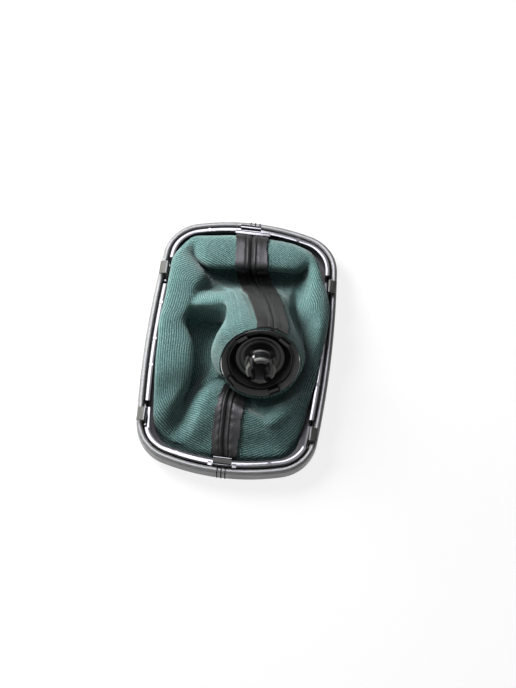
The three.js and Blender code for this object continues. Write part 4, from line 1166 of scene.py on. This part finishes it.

# %% [markdown]
# A panel is cloth cut from flat leather, and it is no rectangle, so the area of each panel's cloth is
# printed in square metres, with the span of its cut: half the frame's outline wide and as long as the
# longest run from the wrapped edge to the collar. It is clamped by the ring and gathered on the
# collar.

# %% Sheets
for made in (right_made, left_made):
    faces = made[0].data.polygons
    print(made[0].name, "cloth area", round(sum(face.area for face in faces), 5), "m2")
    cuts = np.array([entry.uv[:] for entry in made[0].data.uv_layers["cloth"].data])
    print("  its cut spans", (cuts.max(axis=0) - cuts.min(axis=0)).round(4), "m")

# %% [markdown]
# ## The collar
#
# Ring, cup and sleeve are turned shapes. Each is a rounded profile spun about the collar's axis,
# with the notches and slots cut after, and then moved to where the collar leans.


# %% Turning
TURN_STEPS = 96


def spin_profile(profile, radius):
    """Spins a closed profile of (radius, height) in mm once round the Z axis."""
    bm = bmesh.new()
    ring_verts = [bm.verts.new((r * MM, 0, z * MM)) for r, z in rounded(profile, radius)]
    edges = [bm.edges.new((a, b)) for a, b in zip(ring_verts, ring_verts[1:] + ring_verts[:1])]
    bmesh.ops.spin(bm, geom=ring_verts + edges, cent=(0, 0, 0), axis=(0, 0, 1),
                   angle=2 * math.pi, steps=TURN_STEPS, use_merge=True, use_duplicate=False)
    bmesh.ops.remove_doubles(bm, verts=bm.verts, dist=1e-6)
    bmesh.ops.recalc_face_normals(bm, faces=bm.faces)
    return bm


def add_turned_box(bm, degrees, r0, r1, width, z0, z1, bevel=0.0):
    """A box between two radii and two heights in mm, turned about the collar's axis."""
    part = bmesh.new()
    add_box(part, (r0, -width / 2, z0), (r1, width / 2, z1), bevel)
    bmesh.ops.rotate(part, verts=part.verts, cent=(0, 0, 0),
                     matrix=Matrix.Rotation(math.radians(degrees), 3, "Z"))
    mesh = bpy.data.meshes.new("part")
    part.to_mesh(mesh)
    part.free()
    bm.from_mesh(mesh)
    bpy.data.meshes.remove(mesh)


def to_collar(piece):
    piece.data.transform(COLLAR_POSE)


# %% Collar ring
TABS = ((46, 7.5), (122, 6.5), (215, 6.5), (293, 6.5))
LIP_IN, WALL_R, GROOVE_R = COLLAR_R - 3.5, COLLAR_R - 4.0, COLLAR_R - 4.5
RING_IN = COLLAR_R - 1.3
ring_profile = [(COLLAR_R, -7), (COLLAR_R, -0.5), (COLLAR_R - 0.5, 0), (LIP_IN, -1.9),
                (LIP_IN, -3.3), (RING_IN, -1.9), (RING_IN, -7)]
notches = bmesh.new()
for degrees, width in TABS:
    add_turned_box(notches, degrees, LIP_IN - 1.5, RING_IN + 0.6, width + 0.4, -4, 2)
# The ring takes the lighter grey material: a painted sheen.
collar_ring = make_piece(spin_profile(ring_profile, 0.18), "collar_ring_moulding", [collar_ring_painted_sheen_abs],
                         "collar_ring")
boolean(collar_ring, notches, "DIFFERENCE")
to_collar(collar_ring)

# %% [markdown]
# The cup snaps into the ring with four tabs, and a disc with a low rim stands in its middle. The
# groove between disc and wall is deep and gets no light, so its faces are painted near-black, a
# painted shade.

# %% Collar cup
GROOVE_FLOOR_R, GROOVE_TOP = 14.2, -3.5
cup_profile = [(WALL_R, -3.3), (WALL_R, -3.6), (RING_IN - 0.3, -3.6), (RING_IN - 0.3, -4.6),
               (WALL_R, -4.6), (WALL_R, -15.2), (12.9, -15.2), (12.9, -8.4), (7.8, -8.4),
               (7.8, -7), (11.4, -7), (11.4, -7.5), (11.9, -7.5), (11.9, -6.4), (14.1, -6.4),
               (14.1, -14), (GROOVE_R, -14), (GROOVE_R, -3.3)]
collar_cup = make_piece(spin_profile(cup_profile, 0.14), "collar_cup_moulding",
                        [satin_abs, painted_shade_abs], "collar_cup")
tabs = bmesh.new()
for degrees, width in TABS:
    add_turned_box(tabs, degrees, WALL_R + 0.1, RING_IN - 0.6, width, -4.2, 0.7, 0.25)
    add_turned_box(tabs, degrees, RING_IN - 1.3, RING_IN + 0.4, width, -0.4, 0.7, 0.2)
boolean(collar_cup, tabs, "UNION")
# The deep groove's faces take the near-black material: a painted shade.
for face in collar_cup.data.polygons:
    height, reach = face.center.z / MM, face.center.xy.length / MM
    if height < GROOVE_TOP and reach > GROOVE_FLOOR_R:
        face.material_index = 1
to_collar(collar_cup)

# %% [markdown]
# The sleeve grips the lever with four jaws, parted by slits. The bead at the jaws' ends and the
# shoulder below them get a paler grey, a painted highlight, and the bore a painted shade in
# near-black.

# %% Lever sleeve
SLIT_W = 3.4
sleeve_profile = [(BORE_R, -13), (7.5, -13), (7.5, -6.75), (9.2, -6.75), (9.2, -0.3),
                  (8.5, 0.5), (7.7, 0.5), (7.4, 5.3), (8.6, 5.6), (8.6, 7.4), (7.5, 8.4),
                  (BORE_R, 8.4)]
slits = bmesh.new()
for degrees in (40, 130, 220, 308):
    add_turned_box(slits, degrees, 3, 12, SLIT_W, -3, 14)
sleeve = make_piece(spin_profile(sleeve_profile, 0.16), "lever_sleeve_moulding",
                    [satin_abs, bead_painted_highlight_abs, painted_shade_abs], "lever_sleeve")
boolean(sleeve, slits, "DIFFERENCE")
# The bead and the shoulder take the paler material: a painted highlight.
for face in sleeve.data.polygons:
    height, reach = face.center.z / MM, face.center.xy.length / MM
    on_bead = height > 7.3 and reach > 7.2
    on_shoulder = reach > 8.3 and -0.3 < height < 0.6
    if on_bead or on_shoulder:
        face.material_index = 1
    # The bore's faces take the near-black material: a painted shade.
    elif reach < BORE_R + 0.25:
        face.material_index = 2
to_collar(sleeve)

# %% [markdown]
# ## The floor
#
# A plain pale surface, wide enough that its edge is never in view. To the camera most of its
# white comes from the surface itself, so only a faint shadow of the object is left on it.

# %% Floor
FLOOR_HALF = 3.0
FLOOR_GLOW = 0.84


def pale_floor():
    material, tree, output = new_material("pale_floor")
    matt = add_node(tree, "ShaderNodeBsdfDiffuse", {"Color": srgb("#fafafa")})
    white = add_node(tree, "ShaderNodeEmission", {"Color": srgb("#ffffff")})
    ray = add_node(tree, "ShaderNodeLightPath")
    seen = add_node(tree, "ShaderNodeMath", {"operation": "MAXIMUM"},
                    {0: ray.outputs["Is Camera Ray"], 1: ray.outputs["Is Glossy Ray"]})
    share = add_node(tree, "ShaderNodeMath", {"operation": "MULTIPLY", 1: FLOOR_GLOW},
                     {0: seen.outputs[0]})
    shader = add_node(tree, "ShaderNodeMixShader", links={0: share.outputs[0]})
    tree.links.new(matt.outputs["BSDF"], shader.inputs[1])
    tree.links.new(white.outputs["Emission"], shader.inputs[2])
    tree.links.new(shader.outputs["Shader"], output.inputs["Surface"])
    bm = bmesh.new()
    bmesh.ops.create_grid(bm, x_segments=1, y_segments=1, size=FLOOR_HALF)
    mesh = bpy.data.meshes.new("floor")
    bm.to_mesh(mesh)
    bm.free()
    mesh.materials.append(material)
    floor = bpy.data.objects.new("floor", mesh)
    floor.location.z = -0.0002
    bpy.context.collection.objects.link(floor)
    print("floor width in m:", 2 * FLOOR_HALF)


pale_floor()
